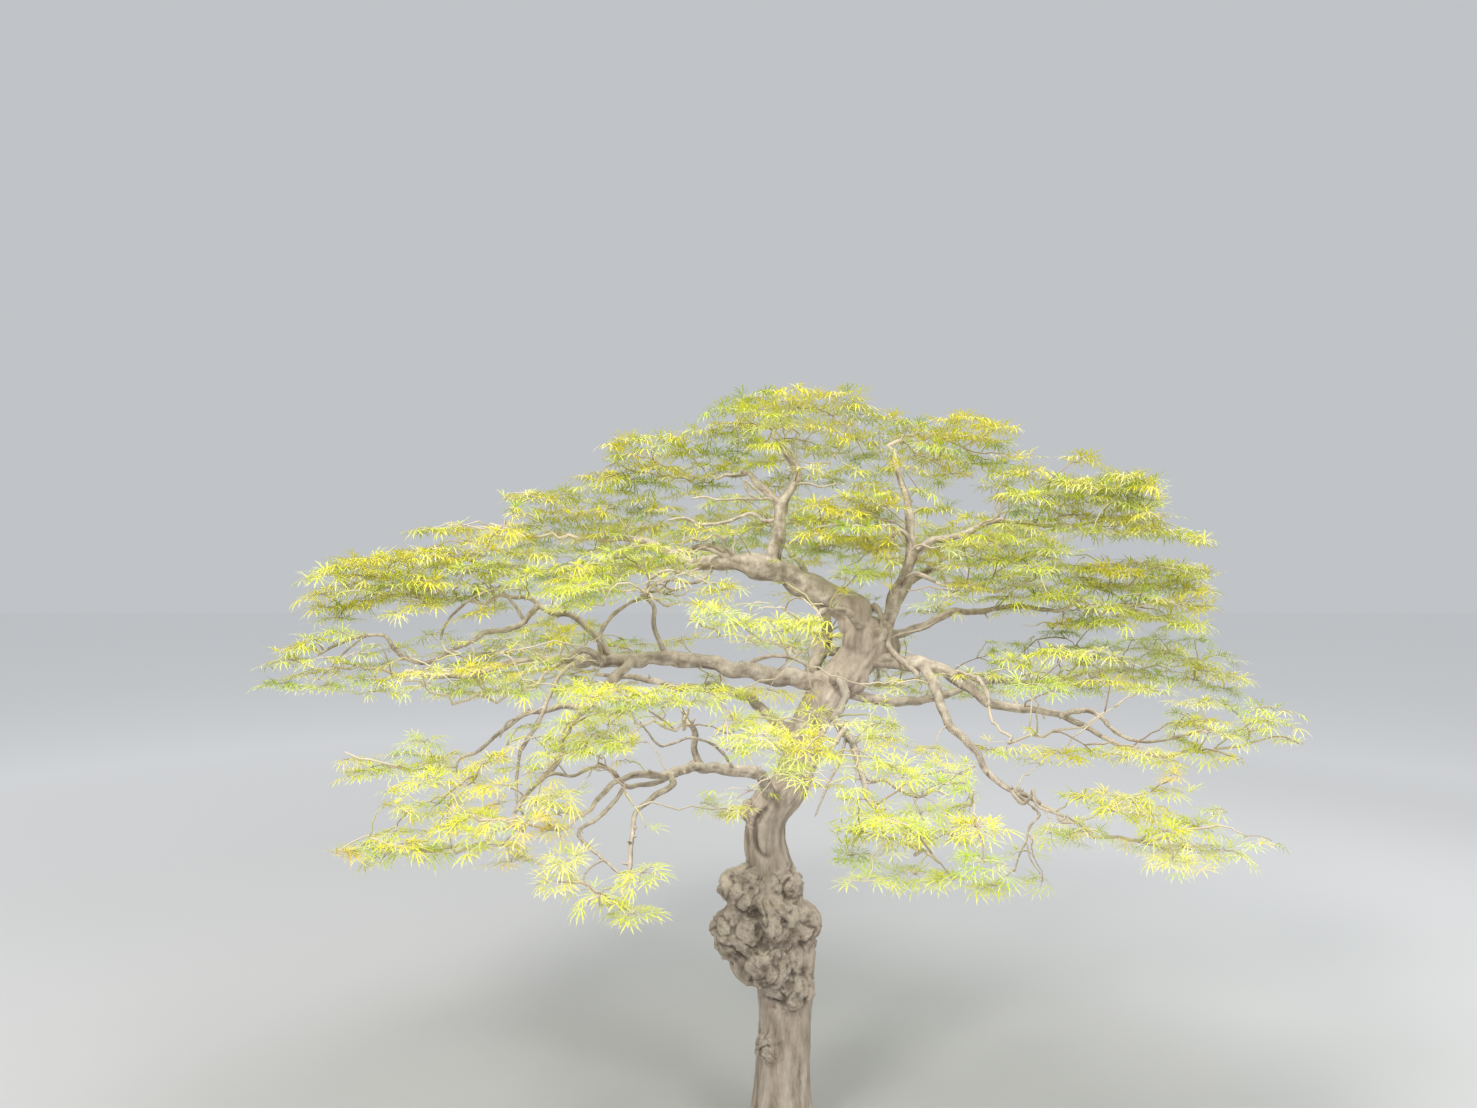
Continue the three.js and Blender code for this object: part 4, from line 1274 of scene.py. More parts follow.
    def build(self) -> Piece:
        """Returns the trunk's piece, which replaces its node."""
        mesh = self.merged()
        points = np.empty(len(mesh.vertices) * 3, dtype=np.float32)
        mesh.vertices.foreach_get("co", points)
        points = points.reshape(-1, 3).astype(float) / MM
        edges = np.empty(len(mesh.edges) * 2, dtype=np.int32)
        mesh.edges.foreach_get("vertices", edges)
        points = smooth_points(points, edges.reshape(-1, 2), 2, 0.5)
        mesh.vertices.foreach_set("co", (points * MM).astype(np.float32).ravel())
        mesh.update()
        normals = np.empty(len(mesh.vertices) * 3, dtype=np.float32)
        mesh.vertex_normals.foreach_get("vector", normals)
        relief = self.relief(points) + self.scar_relief(points)
        fade = np.clip(points[:, 2] / 30, 0, 1)
        moved = points + normals.reshape(-1, 3) * (relief * fade)[:, None]
        moved[points[:, 2] < 3, 2] = 0
        moved[:, 2] = np.maximum(moved[:, 2], 0)
        mesh.vertices.foreach_set("co", (moved * MM).astype(np.float32).ravel())
        # The stored relief also paints shade into the bark's hollows and light onto its ridges.
        keep_value(mesh, "relief", relief / 7)
        keep_value(mesh, "burl", self.burl_share(points))
        shade_smooth(mesh)
        mesh.update()
        piece = new_piece("trunk_wood", mesh, [OLD_BARK.make()])
        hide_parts("trunk")
        return piece


def keep_value(mesh: Mesh, name: str, values: Array) -> None:
    """Stores a value for each point, from -1 to 1, for the bark's material: its painted shade and light, and
    its burl grains.
    """
    attribute = mesh.attributes.new(name, "FLOAT", "POINT")
    attribute.data.foreach_set("value", np.clip(values, -1, 1).astype(np.float32))


def rooted(limb: LimbLine, shares: Array) -> Array:
    """Holds a limb's half thickness down at its root where it goes on from the trunk's tip.

    Args:
        limb: The limb.
        shares: Shares of its way, from 0 to 1.

    Returns:
        The half thickness at each share.
    """
    radii = limb.radii(shares)
    if limb.row.at < 1:
        return radii
    return np.minimum(radii, limb.row.thick * 1.16) * np.minimum(1, 0.72 + shares * limb.length / 90)


def ball(detail: int) -> Part:
    """Returns a round ball of size 1.

    Args:
        detail: How often its faces are divided.

    Returns:
        Its corners and triangles.
    """
    golden = (1 + math.sqrt(5)) / 2
    faces = [(0, 11, 5), (0, 5, 1), (0, 1, 7), (0, 7, 10), (0, 10, 11), (1, 5, 9), (5, 11, 4), (11, 10, 2)]
    faces += [(10, 7, 6), (7, 1, 8), (3, 9, 4), (3, 4, 2), (3, 2, 6), (3, 6, 8), (3, 8, 9), (4, 9, 5)]
    faces += [(2, 4, 11), (6, 2, 10), (8, 6, 7), (9, 8, 1)]
    points = [np.roll((a, b, 0.0), turn) for turn in range(3) for b in (golden, -golden) for a in (-1, 1)]
    for _ in range(detail - 1):
        middles: dict[tuple[int, int], int] = {}
        finer = []
        for face in faces:
            halves = []
            for a, b in ((face[0], face[1]), (face[1], face[2]), (face[2], face[0])):
                key = (min(a, b), max(a, b))
                if key not in middles:
                    middles[key] = len(points)
                    points.append((points[a] + points[b]) / 2)
                halves.append(middles[key])
            ab, bc, ca = halves
            finer += [(face[0], ab, ca), (face[1], bc, ab), (face[2], ca, bc), (ab, bc, ca)]
        faces = finer
    return unit(np.array(points)), np.array(faces, dtype=np.int32)


@dataclass
class BoughWood:
    """One bough: a crooked tapering limb with swellings at its forks, spurs and furrowed bark."""

    skeleton: Skeleton
    limb: LimbLine
    ring_gap: float = 10.5
    kink: float = 0.011
    spur_gap: float = 95.0

    def sides(self) -> int:
        """Returns how many sides the limb has."""
        return 20 if self.limb.row.thick > 20 else 14 if self.limb.row.thick > 11 else 10

    def way(self, shares: Array) -> Array:
        """Works out the limb's line with its small kinks.

        Args:
            shares: Shares of its way, from 0 to 1.

        Returns:
            A point for each share.
        """
        points = self.limb.points(shares)
        hold = np.minimum(1, np.minimum(shares, 1 - shares) * 8)[:, None]
        reach = self.kink * self.limb.length
        for i, share in enumerate(shares):
            where = Vector((share * self.limb.length / 46, self.limb.seed * 3.7, 0.0))
            points[i] += hold[i] * reach * np.array(noise.noise_vector(where))
        return points

    def knobs(self) -> list[tuple[float, float]]:
        """Returns the swellings along the limb, each as its share of the way and its strength."""
        rng = np.random.default_rng(self.limb.seed + 40)
        found = [(child.row.at, 0.2) for child in self.skeleton.children(self.limb.row.name)]
        count = int(self.limb.length / 110)
        most = 0.14 if self.limb.row.thick > 20 else 0.28
        found += [(float(rng.uniform(0.12, 0.97)), float(rng.uniform(0.06, most))) for _ in range(count)]
        return found

    def shaft(self) -> tuple[Array, Faces, Array]:
        """Returns the corners, triangles and relief of the limb alone."""
        limb, sides = self.limb, self.sides()
        shares = np.linspace(0, 1, max(12, int(limb.length / self.ring_gap)))
        points = self.way(shares)
        radii = rooted(limb, shares)
        swell = np.ones_like(radii)
        for at, strength in self.knobs():
            width = 1.1 * float(np.interp(at, shares, radii)) / limb.length
            swell += strength * np.exp(-(((shares - at) / width) ** 2))
        relief = np.empty((len(shares), sides))
        for i, share in enumerate(shares):
            along = share * limb.length
            for j in range(sides):
                turn = 2 * math.pi * j / sides
                c, s = math.cos(turn), math.sin(turn)
                value = noise.noise(Vector((1.3 * c, 1.3 * s + limb.seed, along / 75)))
                value += 0.7 * noise.noise(Vector((3.2 * c, 3.2 * s + limb.seed, along / 60)))
                value += 0.35 * noise.noise(Vector((4.5 * c, 4.5 * s, along / 12 + limb.seed)))
                relief[i, j] = value
        sizes = (radii * swell)[:, None] * (1 + 0.16 * relief)
        sizes[-1] *= 0.6
        corners, faces = tube(points, sizes, sides)
        return corners, faces, relief.ravel()

    def spurs(self) -> list[Part]:
        """Returns the short blunt spurs left where shoots were cut."""
        rng = np.random.default_rng(self.limb.seed + 80)
        found = []
        for _ in range(int(self.limb.length / self.spur_gap)):
            share = rng.uniform(0.2, 0.98)
            base = self.way(np.array([share]))[0]
            radius = float(self.limb.radii(np.array([share]))[0])
            aim = self.limb.aim(float(share))
            way = unit(np.cross(aim, rng.normal(size=3)) + 0.5 * aim + 0.5 * UP)
            size = min(radius * 0.5, rng.uniform(2.2, 5.0))
            end = radius + rng.uniform(5, 16)
            shares = np.array([0.0, 0.6, 0.92, 1.0])
            sizes = size * np.array([1.6, 1.05, 1.1, 0.55])
            found.append(tube(base + way * (shares * end)[:, None], sizes, 8))
        return found

    def branchlets(self) -> list[Part]:
        """Returns the winding branchlets that leave this limb, and those that leave them."""
        carriers = [self.limb.row.name]
        if self.limb.row.name == "leader_left":
            carriers.append("trunk")
        found = []
        for name, row in BRANCHLETS.items():
            if row.parent not in carriers:
                continue
            carriers.append(name)
            way = self.skeleton.branchlets[name].copy()
            for i in range(1, len(way)):
                way[i] += 2.2 * np.array(noise.noise_vector(Vector(way[i]) / 30))
            rng = np.random.default_rng(len(name) * 31 + int(row.thick * 10))
            lumpy = 1 + 0.12 * rng.normal(size=len(way)).clip(-1, 1.5)
            radii = row.radii(way) * lumpy
            radii[-1] *= 0.5
            found.append(tube(way, radii, 8))
        return found

    def build(self, bark: Material) -> Piece:
        """Builds the limb's piece, which replaces its node.

        Args:
            bark: Its material.

        Returns:
            The piece.
        """
        heap = Heap()
        corners, faces, relief = self.shaft()
        heap.add(corners, faces)
        reliefs = [relief]
        for part in self.spurs() + self.branchlets():
            heap.add(*part)
            reliefs.append(np.zeros(len(part[0])))
        mesh = heap.mesh(f"wood_{self.limb.row.name}")
        # The stored relief also paints shade into the bark's hollows and light onto its ridges.
        keep_value(mesh, "relief", np.concatenate(reliefs))
        shade_smooth(mesh)
        piece = new_piece(f"wood_{self.limb.row.name}", mesh, [bark])
        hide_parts(self.limb.row.name)
        return piece


class Habit(Enum):
    """How a leaf hangs: the slope at its hub and the bend of its lobes, in degrees, and how wide they fan."""

    RISING = (-46, 44, 0.9)
    LEVEL = (-12, 34, 1.0)
    NODDING = (0, 48, 0.9)
    HANGING = (8, 58, 0.7)


@dataclass(frozen=True)
class Lobe:
    """One lobe of a leaf: its heading in degrees, its length, and its half widths at shares of its length."""

    heading: float
    length: float
    stations: tuple[float, ...] = (0.03, 0.36, 0.7, 1.0)
    widths: tuple[float, ...] = (0.011, 0.029, 0.022, 0.0)
    teeth: tuple[tuple[float, int], ...] = ((0.3, 1), (0.54, -1))


@dataclass
class LeafShape:
    """One lace leaf of length 1: seven long narrow lobes with side teeth, on a thin stalk."""

    habit: Habit
    seed: int
    lobes: tuple[Lobe, ...] = (
        Lobe(-124, 0.52, (0.03, 0.5, 1.0), (0.013, 0.043, 0.0), ((0.4, -1),)),
        Lobe(-82, 0.82),
        Lobe(-41, 0.97, teeth=((0.28, -1), (0.52, 1))),
        Lobe(0, 1.0),
        Lobe(41, 0.97),
        Lobe(82, 0.82, teeth=((0.32, -1), (0.55, 1))),
        Lobe(124, 0.52, (0.03, 0.5, 1.0), (0.013, 0.043, 0.0), ((0.4, 1),)),
    )
    sweep: float = 0.28
    tooth_base: float = 0.07
    tooth_reach: float = 0.2
    tooth_out: float = 0.085
    stalk: float = 0.36
    stalk_width: float = 0.011
    heart_share: float = 0.5
    points: Array = field(init=False)
    faces: Faces = field(init=False)
    tips: Numbers = field(init=False)

    def __post_init__(self) -> None:
        """Builds the leaf's corners, its triangles, and which of these belong to the pale tips."""
        rng = np.random.default_rng(self.seed)
        self.corners: list[Array] = []
        triangles: list[tuple[int, int, int]] = []
        tips: list[int] = []
        for lobe in self.lobes:
            turn = math.radians(lobe.heading * self.habit.value[2] + rng.uniform(-8, 8))
            length = lobe.length * rng.uniform(0.86, 1.1)
            bend = math.radians(self.habit.value[1]) * rng.uniform(0.75, 1.3)
            rows = []
            for u, width in zip(lobe.stations, lobe.widths):
                sides = (-width, width) if width else (0.0,)
                rows.append([self.corner(turn, length, bend, u, v) for v in sides])
            for low, high, u in zip(rows, rows[1:], lobe.stations):
                triangles.append((low[0], low[1], high[-1]))
                if len(high) == 2:
                    triangles.append((low[0], high[1], high[0]))
                tips += [int(u > self.heart_share)] * len(high)
            for u, side in lobe.teeth:
                width = side * float(np.interp(u, lobe.stations, lobe.widths)) * 0.8
                a = self.corner(turn, length, bend, u, width)
                b = self.corner(turn, length, bend, u + self.tooth_base, width)
                c = self.corner(turn, length, bend, u + self.tooth_reach, width + side * self.tooth_out)
                triangles.append((a, b, c) if side < 0 else (b, a, c))
                tips.append(int(u > self.heart_share))
        root, half, end = len(self.corners), self.stalk_width, self.stalk + 0.04
        self.corners += [np.array(p) for p in ((0, -half, 0), (0, half, 0), (end, half, 0), (end, -half, 0))]
        triangles += [(root, root + 2, root + 1), (root, root + 3, root + 2)]
        tips += [1, 1]
        self.points = np.array(self.corners)
        self.faces = np.array(triangles, dtype=np.int32)
        self.tips = np.array(tips, dtype=np.int32)

    def corner(self, turn: float, length: float, bend: float, u: float, v: float) -> int:
        """Adds a corner of a lobe that arches down and sweeps forwards.

        Args:
            turn: The lobe's heading at the hub, in radians.
            length: Its length.
            bend: How far it bends down, in radians.
            u: The corner's share of the length.
            v: How far it lies to the side, as a share of the length.

        Returns:
            The corner's number.
        """
        steps = np.linspace(0, u, 7)
        slopes = math.radians(self.habit.value[0]) + bend * steps
        turns = turn - self.sweep * turn * steps / 2
        run = np.array([np.cos(slopes) * np.cos(turns), np.cos(slopes) * np.sin(turns), -np.sin(slopes)])
        middle = np.trapz(run, steps, axis=1) * length + [self.stalk, 0, 0]
        side = np.array([-math.sin(turns[-1]), math.cos(turns[-1]), 0])
        self.corners.append(middle + side * v * length)
        return len(self.corners) - 1


@dataclass
class Shoot:
    """A twig: its way, its half thickness at both ends, and its generation."""

    way: Array
    thick: float
    thin: float
    generation: int


@dataclass
class Spray:
    """A flat spray of leaves at a twig's end: its middle, its direction, its own up, size and tint."""

    middle: Array
    aim: Array
    normal: Array
    radius: float
    tint: int


@dataclass
class LeafPlace:
    """Where one leaf sits, how it is turned, its size, habit and tint."""

    root: Array
    turn: Array
    size: float
    habit: Habit
    tint: int


@dataclass(frozen=True)
class Opening:
    """A gap in the leaves, in the photograph's pixels, through which a bough or the background shows."""

    name: str
    left: float
    top: float
    right: float
    bottom: float
    kept: float = 0.12
    back: float = 2000.0

    def hides(self, pixels: Array, points: Array) -> Array:
        """Works out how far leaves lie in the opening.

        Args:
            pixels: The pixels of several points of each leaf.
            points: The same points, in millimetres.

        Returns:
            The share of each leaf's points that lie in it and in front of its back.
        """
        across, down = pixels[..., 0], pixels[..., 1]
        inside = (across > self.left) & (across < self.right) & (down > self.top) & (down < self.bottom)
        return (inside & (points[..., 1] < self.back)).mean(axis=-1)

    def kept_twigs(self) -> float:
        """Returns the share of twigs that it keeps: none, if it keeps few leaves."""
        return self.kept if self.kept >= 0.2 else 0.0


@dataclass(frozen=True)
class Tuft:
    """A spray placed after the photograph.

    Its middle shows at a pixel of the 1477 by 1108 picture and lies at a distance back from the trunk's foot.
    A twig from the nearest wood of its mass carries it.
    """

    across: float
    down: float
    back: float
    radius: float = 80.0
    tint: Tint = Tint.LEMON


TUFTS: dict[str, tuple[tuple, ...]] = {
    "bough_right_front": (
        (1250, 731, -400), (1205, 721, -400, 90, GOLD), (1203, 752, -430, 72), (1166, 761, -400, 80, CREAM),
        (1232, 736, -430, 70, LIGHT),
    ),
    "bough_right_back": (
        (1060, 632, 140, 74, LIME), (1100, 623, 140, 76, LIGHT), (1012, 662, 60, 70, LIGHT),
        (1044, 654, 60, 76, CREAM), (1080, 648, 60, 76, LIGHT), (1226, 676, 0, 62, GOLD), (1186, 660, 40),
        (1150, 650, 60), (1195, 640, 60, 72, LIME),
    ),
    "bough_right_low": (
        (1148, 845, -660, 86, CREAM), (1190, 850, -650, 82, CREAM), (1226, 851, -620, 66, LIGHT),
        (1086, 832, -640, 84, LIGHT), (1112, 811, -640, 86), (1160, 791, -620, 84), (1196, 826, -600, 70),
        (1078, 797, -600, 66), (1025, 851, -530, 66), (992, 886, -520, 56), (1043, 881, -540, 60, LIGHT),
        (1134, 803, -600, 70, CREAM),
    ),
    "bough_right_upper": (
        (1008, 743, -580, 86, GOLD), (1038, 735, -580, 84, GOLD), (1022, 727, -560, 70, GOLD),
        (1092, 752, -540, 84), (1062, 754, -560, 66, GOLD), (1122, 702, -500, 86, CREAM),
        (1150, 690, -480, 76, LIGHT), (1040, 672, -520, 80, LIGHT),
    ),
    "bough_front": (
        (975, 766, -900), (972, 806, -930, 78), (952, 836, -960), (922, 812, -980, 78, LIGHT),
        (915, 874, -1040, 80, LIGHT), (846, 832, -960, 74), (886, 838, -1000, 80, CREAM),
        (858, 800, -940, 76),
    ),
    "bough_front_hanging": (
        (601, 893, -1060, 74), (560, 882, -1040, 60, CREAM), (634, 913, -1080, 62), (642, 873, -1040, 70),
        (566, 860, -1000, 50, CREAM),
    ),
    "bough_front_left": (
        (598, 771, -800, 84, GOLD), (577, 792, -800, 74, LIGHT), (556, 830, -800, 84, AMBER),
        (502, 846, -800, 86, CREAM), (512, 862, -820, 72, AMBER), (634, 806, -900, 66),
        (646, 828, -920, 62, LIGHT), (566, 752, -760), (535, 738, -700, 72, LIGHT), (592, 735, -740, 72),
        (734, 811, -640, 40, CREAM), (700, 803, -660, 40, LIGHT),
    ),
    "bough_left_low": (
        (490, 761, -620, 84, GOLD), (468, 785, -640, 86, GOLD), (438, 804, -650, 86),
        (500, 804, -660, 82, AMBER), (404, 813, -640, 78, LIGHT), (446, 828, -680, 86, CREAM),
        (394, 832, -640, 68), (362, 846, -620, 60, LIME), (383, 858, -640, 66), (452, 848, -690, 80, CREAM),
        (520, 727, -430, 56, LIGHT), (518, 768, -640, 72),
    ),
    "bough_left_outer": (
        (424, 742, -400, 80, LIGHT), (366, 771, -390), (424, 764, -420, 62), (392, 768, -410, 72, LIGHT),
    ),
    "bough_left_main": (
        (286, 660, -290, 72), (282, 684, -300, 66, LIME), (316, 640, -280, 72), (374, 692, -320),
        (402, 676, -320, 76, GOLD), (326, 686, -310, 66, LIGHT), (346, 664, -290, 66, LIGHT),
    ),
    "bough_left_mid": (
        (480, 666, -520, 76, GOLD), (506, 651, -520, 78, GOLD), (452, 670, -500, 72),
        (526, 691, -560, 58, LIME), (645, 657, -230, 60, CREAM), (540, 662, -500, 66, LIME),
        (566, 690, -540, 66), (500, 690, -520, 60, LIGHT),
    ),
    "bough_front_fork": (
        (800, 736, -840, 60, GOLD), (836, 757, -860, 56), (790, 766, -880, 54, LIGHT), (892, 767, -860, 58),
        (872, 704, -640, 60, LIGHT), (752, 806, -900, 40, CREAM), (858, 737, -740, 46, LIGHT),
        (812, 712, -760, 48),
    ),
    "bough_centre_up": (
        (880, 548, -60, 70, GOLD), (820, 520, -60, 74), (855, 510, -60, 70, GOLD),
        (836, 578, -80, 66, GOLD), (872, 576, -80, 60), (800, 560, -70, 60), (790, 520, -40, 72, LIGHT),
        (832, 545, -80, 64), (886, 506, -40, 66, GOLD),
    ),
    "bough_right_centre": (
        (962, 545, -110, 76, GOLD), (994, 560, -110, 76), (972, 586, -120, 72, GOLD), (1012, 577, -110, 72),
        (940, 606, -140, 62, LIGHT), (906, 590, -130, 56, GOLD),
    ),
    "bough_centre_left": (
        (640, 570, -300, 74), (600, 592, -310, 74, LIGHT), (684, 603, -300, 66), (722, 590, -300, 66, GOLD),
        (662, 545, -280, 70, GOLD), (618, 552, -290, 66, LIGHT),
    ),
    "bough_centre": (
        (700, 638, -560, 66), (786, 648, -520, 60, GOLD), (822, 634, -480, 60, GOLD), (752, 604, -520, 70),
        (704, 606, -540, 70, GOLD), (800, 622, -480, 60), (768, 690, -560, 66, GOLD),
        (812, 692, -520, 60, GOLD), (728, 694, -560, 70), (872, 690, -480, 62), (906, 686, -440, 60, GOLD),
        (930, 682, -420, 56),
    ),
    "bough_front_left_up": (
        (616, 690, -720, 76, GOLD), (648, 693, -720, 70), (622, 713, -740, 80, LIGHT), (576, 722, -720),
        (562, 742, -700, 76), (684, 720, -740, 70), (600, 742, -760, 74, LIGHT),
    ),
    "bough_top": (
        (766, 410, 240, 72, GOLD), (802, 405, 230, 66, GOLD), (735, 424, 220, 84, GOLD),
        (706, 431, 230, 66, GOLD), (842, 425, 250, 80, GOLD), (786, 442, 200, 78),
        (856, 440, 240, 80, GOLD), (822, 446, 180, 78), (848, 470, 120), (870, 484, 100, 78),
        (824, 478, 120, 72, LIGHT), (765, 462, 60, 56),
    ),
    "leader_left": (
        (650, 528, 280, 76, GOLD), (610, 505, 300), (574, 516, 300, 78), (545, 500, 300, 72, GOLD),
        (640, 500, 290, 76), (585, 540, 270, 80, GOLD), (630, 548, 250, 74), (552, 552, 260, 76, LIGHT),
        (606, 565, 200, 72, GOLD), (516, 538, 290, 76, GOLD), (662, 508, 260, 60, GOLD),
    ),
    "leader_right": (
        (900, 468, 60, 76, GOLD), (918, 490, 60, 72), (888, 492, 80, 70, GOLD), (892, 418, 300, 72, GOLD),
        (930, 432, 290, 80, GOLD), (966, 437, 290, 80, GOLD), (1000, 443, 280, 66),
        (914, 456, 240, 76, GOLD), (952, 474, 240, 84, GOLD), (1006, 474, 240),
    ),
    "bough_top_left": (
        (628, 441, 300, 74, GOLD), (674, 438, 300, 66, GOLD), (664, 467, 280, 78, GOLD),
        (700, 466, 280, 72), (612, 476, 300, 56, GOLD), (690, 450, 300, 56),
    ),
    "bough_upper_right": (
        (1032, 472, 140, 76, GOLD), (1062, 481, 130, 74, GOLD), (1096, 490, 120, 74),
        (1082, 458, 140, 50, GOLD), (1120, 478, 100, 72), (1154, 492, 90, 62, GOLD),
        (1076, 515, 80, 80, GOLD), (1203, 540, 0, 56, GOLD), (1168, 532, 60, 60, LIME),
        (1130, 508, 90, 70, GOLD),
    ),
    "bough_right_shoulder": (
        (1160, 586, -20, 76), (1190, 588, -20, 70, GOLD), (1208, 606, -20, 56, GOLD), (1180, 626, -40, 72),
        (1130, 575, 0, 76), (1040, 556, -20, 76, GOLD), (1075, 566, -20, 74),
    ),
    "bough_left_upper": (
        (378, 578, 0, 76, GOLD), (352, 606, -20, 76), (398, 560, 20, 70, GOLD), (338, 618, -60, 62, LIGHT),
        (440, 548, 40, 76), (474, 542, 60, 72, GOLD),
    ),
}

OPENINGS = tuple(Opening(*row) for row in (
    ("above_left_main_bough", 604, 602, 688, 636),
    ("left_main_bough", 604, 636, 740, 684, 0.12, -40),
    ("arch_by_trunk", 735, 650, 822, 686, 0.12, 0),
    ("under_left_main_bough", 592, 664, 700, 682),
    ("upper_trunk", 836, 598, 908, 664, 0.12, 10),
    ("trunk_neck", 822, 664, 900, 690, 0.35, 0),
    ("right_of_fork", 908, 620, 985, 672),
    ("left_leader", 738, 556, 835, 616, 0.25, 60),
    ("left_leader_rise", 742, 506, 778, 556, 0.25, 60),
    ("right_leader", 898, 512, 940, 592, 0.2, 40),
    ("right_low_bough", 908, 678, 950, 745, 0.12, -40),
    ("right_front_bough", 955, 696, 1165, 744, 0.15, -40),
    ("under_right_front_bough", 1005, 766, 1148, 788, 0.15),
    ("right_low_bough_end", 975, 768, 1060, 815, 0.2, -200),
    ("left_gap", 300, 698, 515, 734, 0.05),
    ("low_left_gap", 588, 792, 700, 862, 0.15),
    ("front_left_bough", 560, 764, 745, 792, 0.25, -60),
    ("left_middle_gap", 638, 712, 716, 762, 0.25),
    ("trunk_front", 744, 796, 832, 1010, 0.1, 60),
    ("trunk_middle", 780, 776, 836, 796, 0.6, 0),
    ("left_tip_bough", 380, 628, 530, 662, 0.3, -200),
    ("above_left_shoulder", 370, 440, 505, 526, 0.1),
    ("above_left_top", 540, 400, 606, 470, 0.15),
    ("right_of_upper_right", 1166, 440, 1300, 528, 0.12),
    ("right_of_shoulder", 1216, 528, 1340, 650, 0.1),
    ("notch_top_right", 1014, 415, 1062, 450, 0.3),
    ("right_end_gap", 1228, 762, 1360, 836, 0.08),
    ("right_end_inner_gap", 1184, 768, 1228, 806, 0.2),
    ("right_tip_under", 1244, 746, 1360, 764, 0.15),
    ("left_end_low", 230, 738, 336, 900, 0.08),
    ("left_low_notch", 330, 786, 380, 830, 0.12),
    ("under_left_low", 340, 868, 528, 950, 0.06),
    ("under_hanging", 500, 926, 700, 990, 0.05),
    ("beside_trunk_left", 670, 822, 744, 1010, 0.08),
    ("beside_trunk_right", 832, 894, 1000, 990, 0.06),
    ("under_right", 1000, 896, 1320, 960, 0.05),
    ("right_low_gap", 1050, 846, 1110, 900, 0.12),
))

FULLNESS = {
    "bough_front_hanging": 0.03, "bough_left_outer": 0.12, "bough_left_low": 0.3, "bough_front_left": 0.25,
    "bough_right_low": 0.25, "bough_right_upper": 0.5, "bough_left_main": 0.5, "bough_right_front": 0.4,
    "bough_front": 0.28, "bough_front_fork": 0.3, "bough_right_shoulder": 0.6, "bough_upper_right": 0.75,
    "bough_right_back": 0.7,
}


class Crown:
    """What the masses share: the skeleton, the tree's box, the leaf shapes and the sprays so far."""

    FLATNESS = 2.3
    SPACING = 0.5
    VIEW_SHARE = 0.36
    VIEW_RISE = 11.0

    def __init__(self, skeleton: Skeleton, low: Array, high: Array) -> None:
        """Starts with no sprays.

        Args:
            skeleton: The tree's lines.
            low: The lowest corner that leaves may reach.
            high: The highest.
        """
        self.skeleton = skeleton
        self.low = low
        self.high = high
        self.shapes = {
            habit: [LeafShape(habit, 10 * i + k) for k in range(3)] for i, habit in enumerate(Habit)
        }
        self.taken: list[tuple[Array, float, Array]] = []

    def has_room(self, middle: Array, radius: float) -> bool:
        """Works out whether a new spray would lie clear of the others.

        Args:
            middle: The spray's middle.
            radius: Its size.

        Returns:
            Whether it would.
        """
        if not self.taken:
            return True
        middles, radii, seen = (np.array(values) for values in zip(*self.taken))
        gaps = (middles - middle) * [1, 1, self.FLATNESS]
        if (np.linalg.norm(gaps, axis=1) < self.SPACING * (radii + radius)).any():
            return False
        apart = np.abs(seen - PHOTO.pixels(middle))
        wide = self.VIEW_SHARE * (radii + radius) / (middle[1] - PHOTO.eye[1]) * PHOTO.focal
        crowded = np.hypot(apart[:, 0] / wide, apart[:, 1] / self.VIEW_RISE) < 1
        return not (crowded & ((middles[:, 1] < 0) == (middle[1] < 0))).any()

    def take(self, middle: Array, radius: float) -> None:
        """Notes a spray's place."""
        self.taken.append((middle, radius, PHOTO.pixels(middle)))


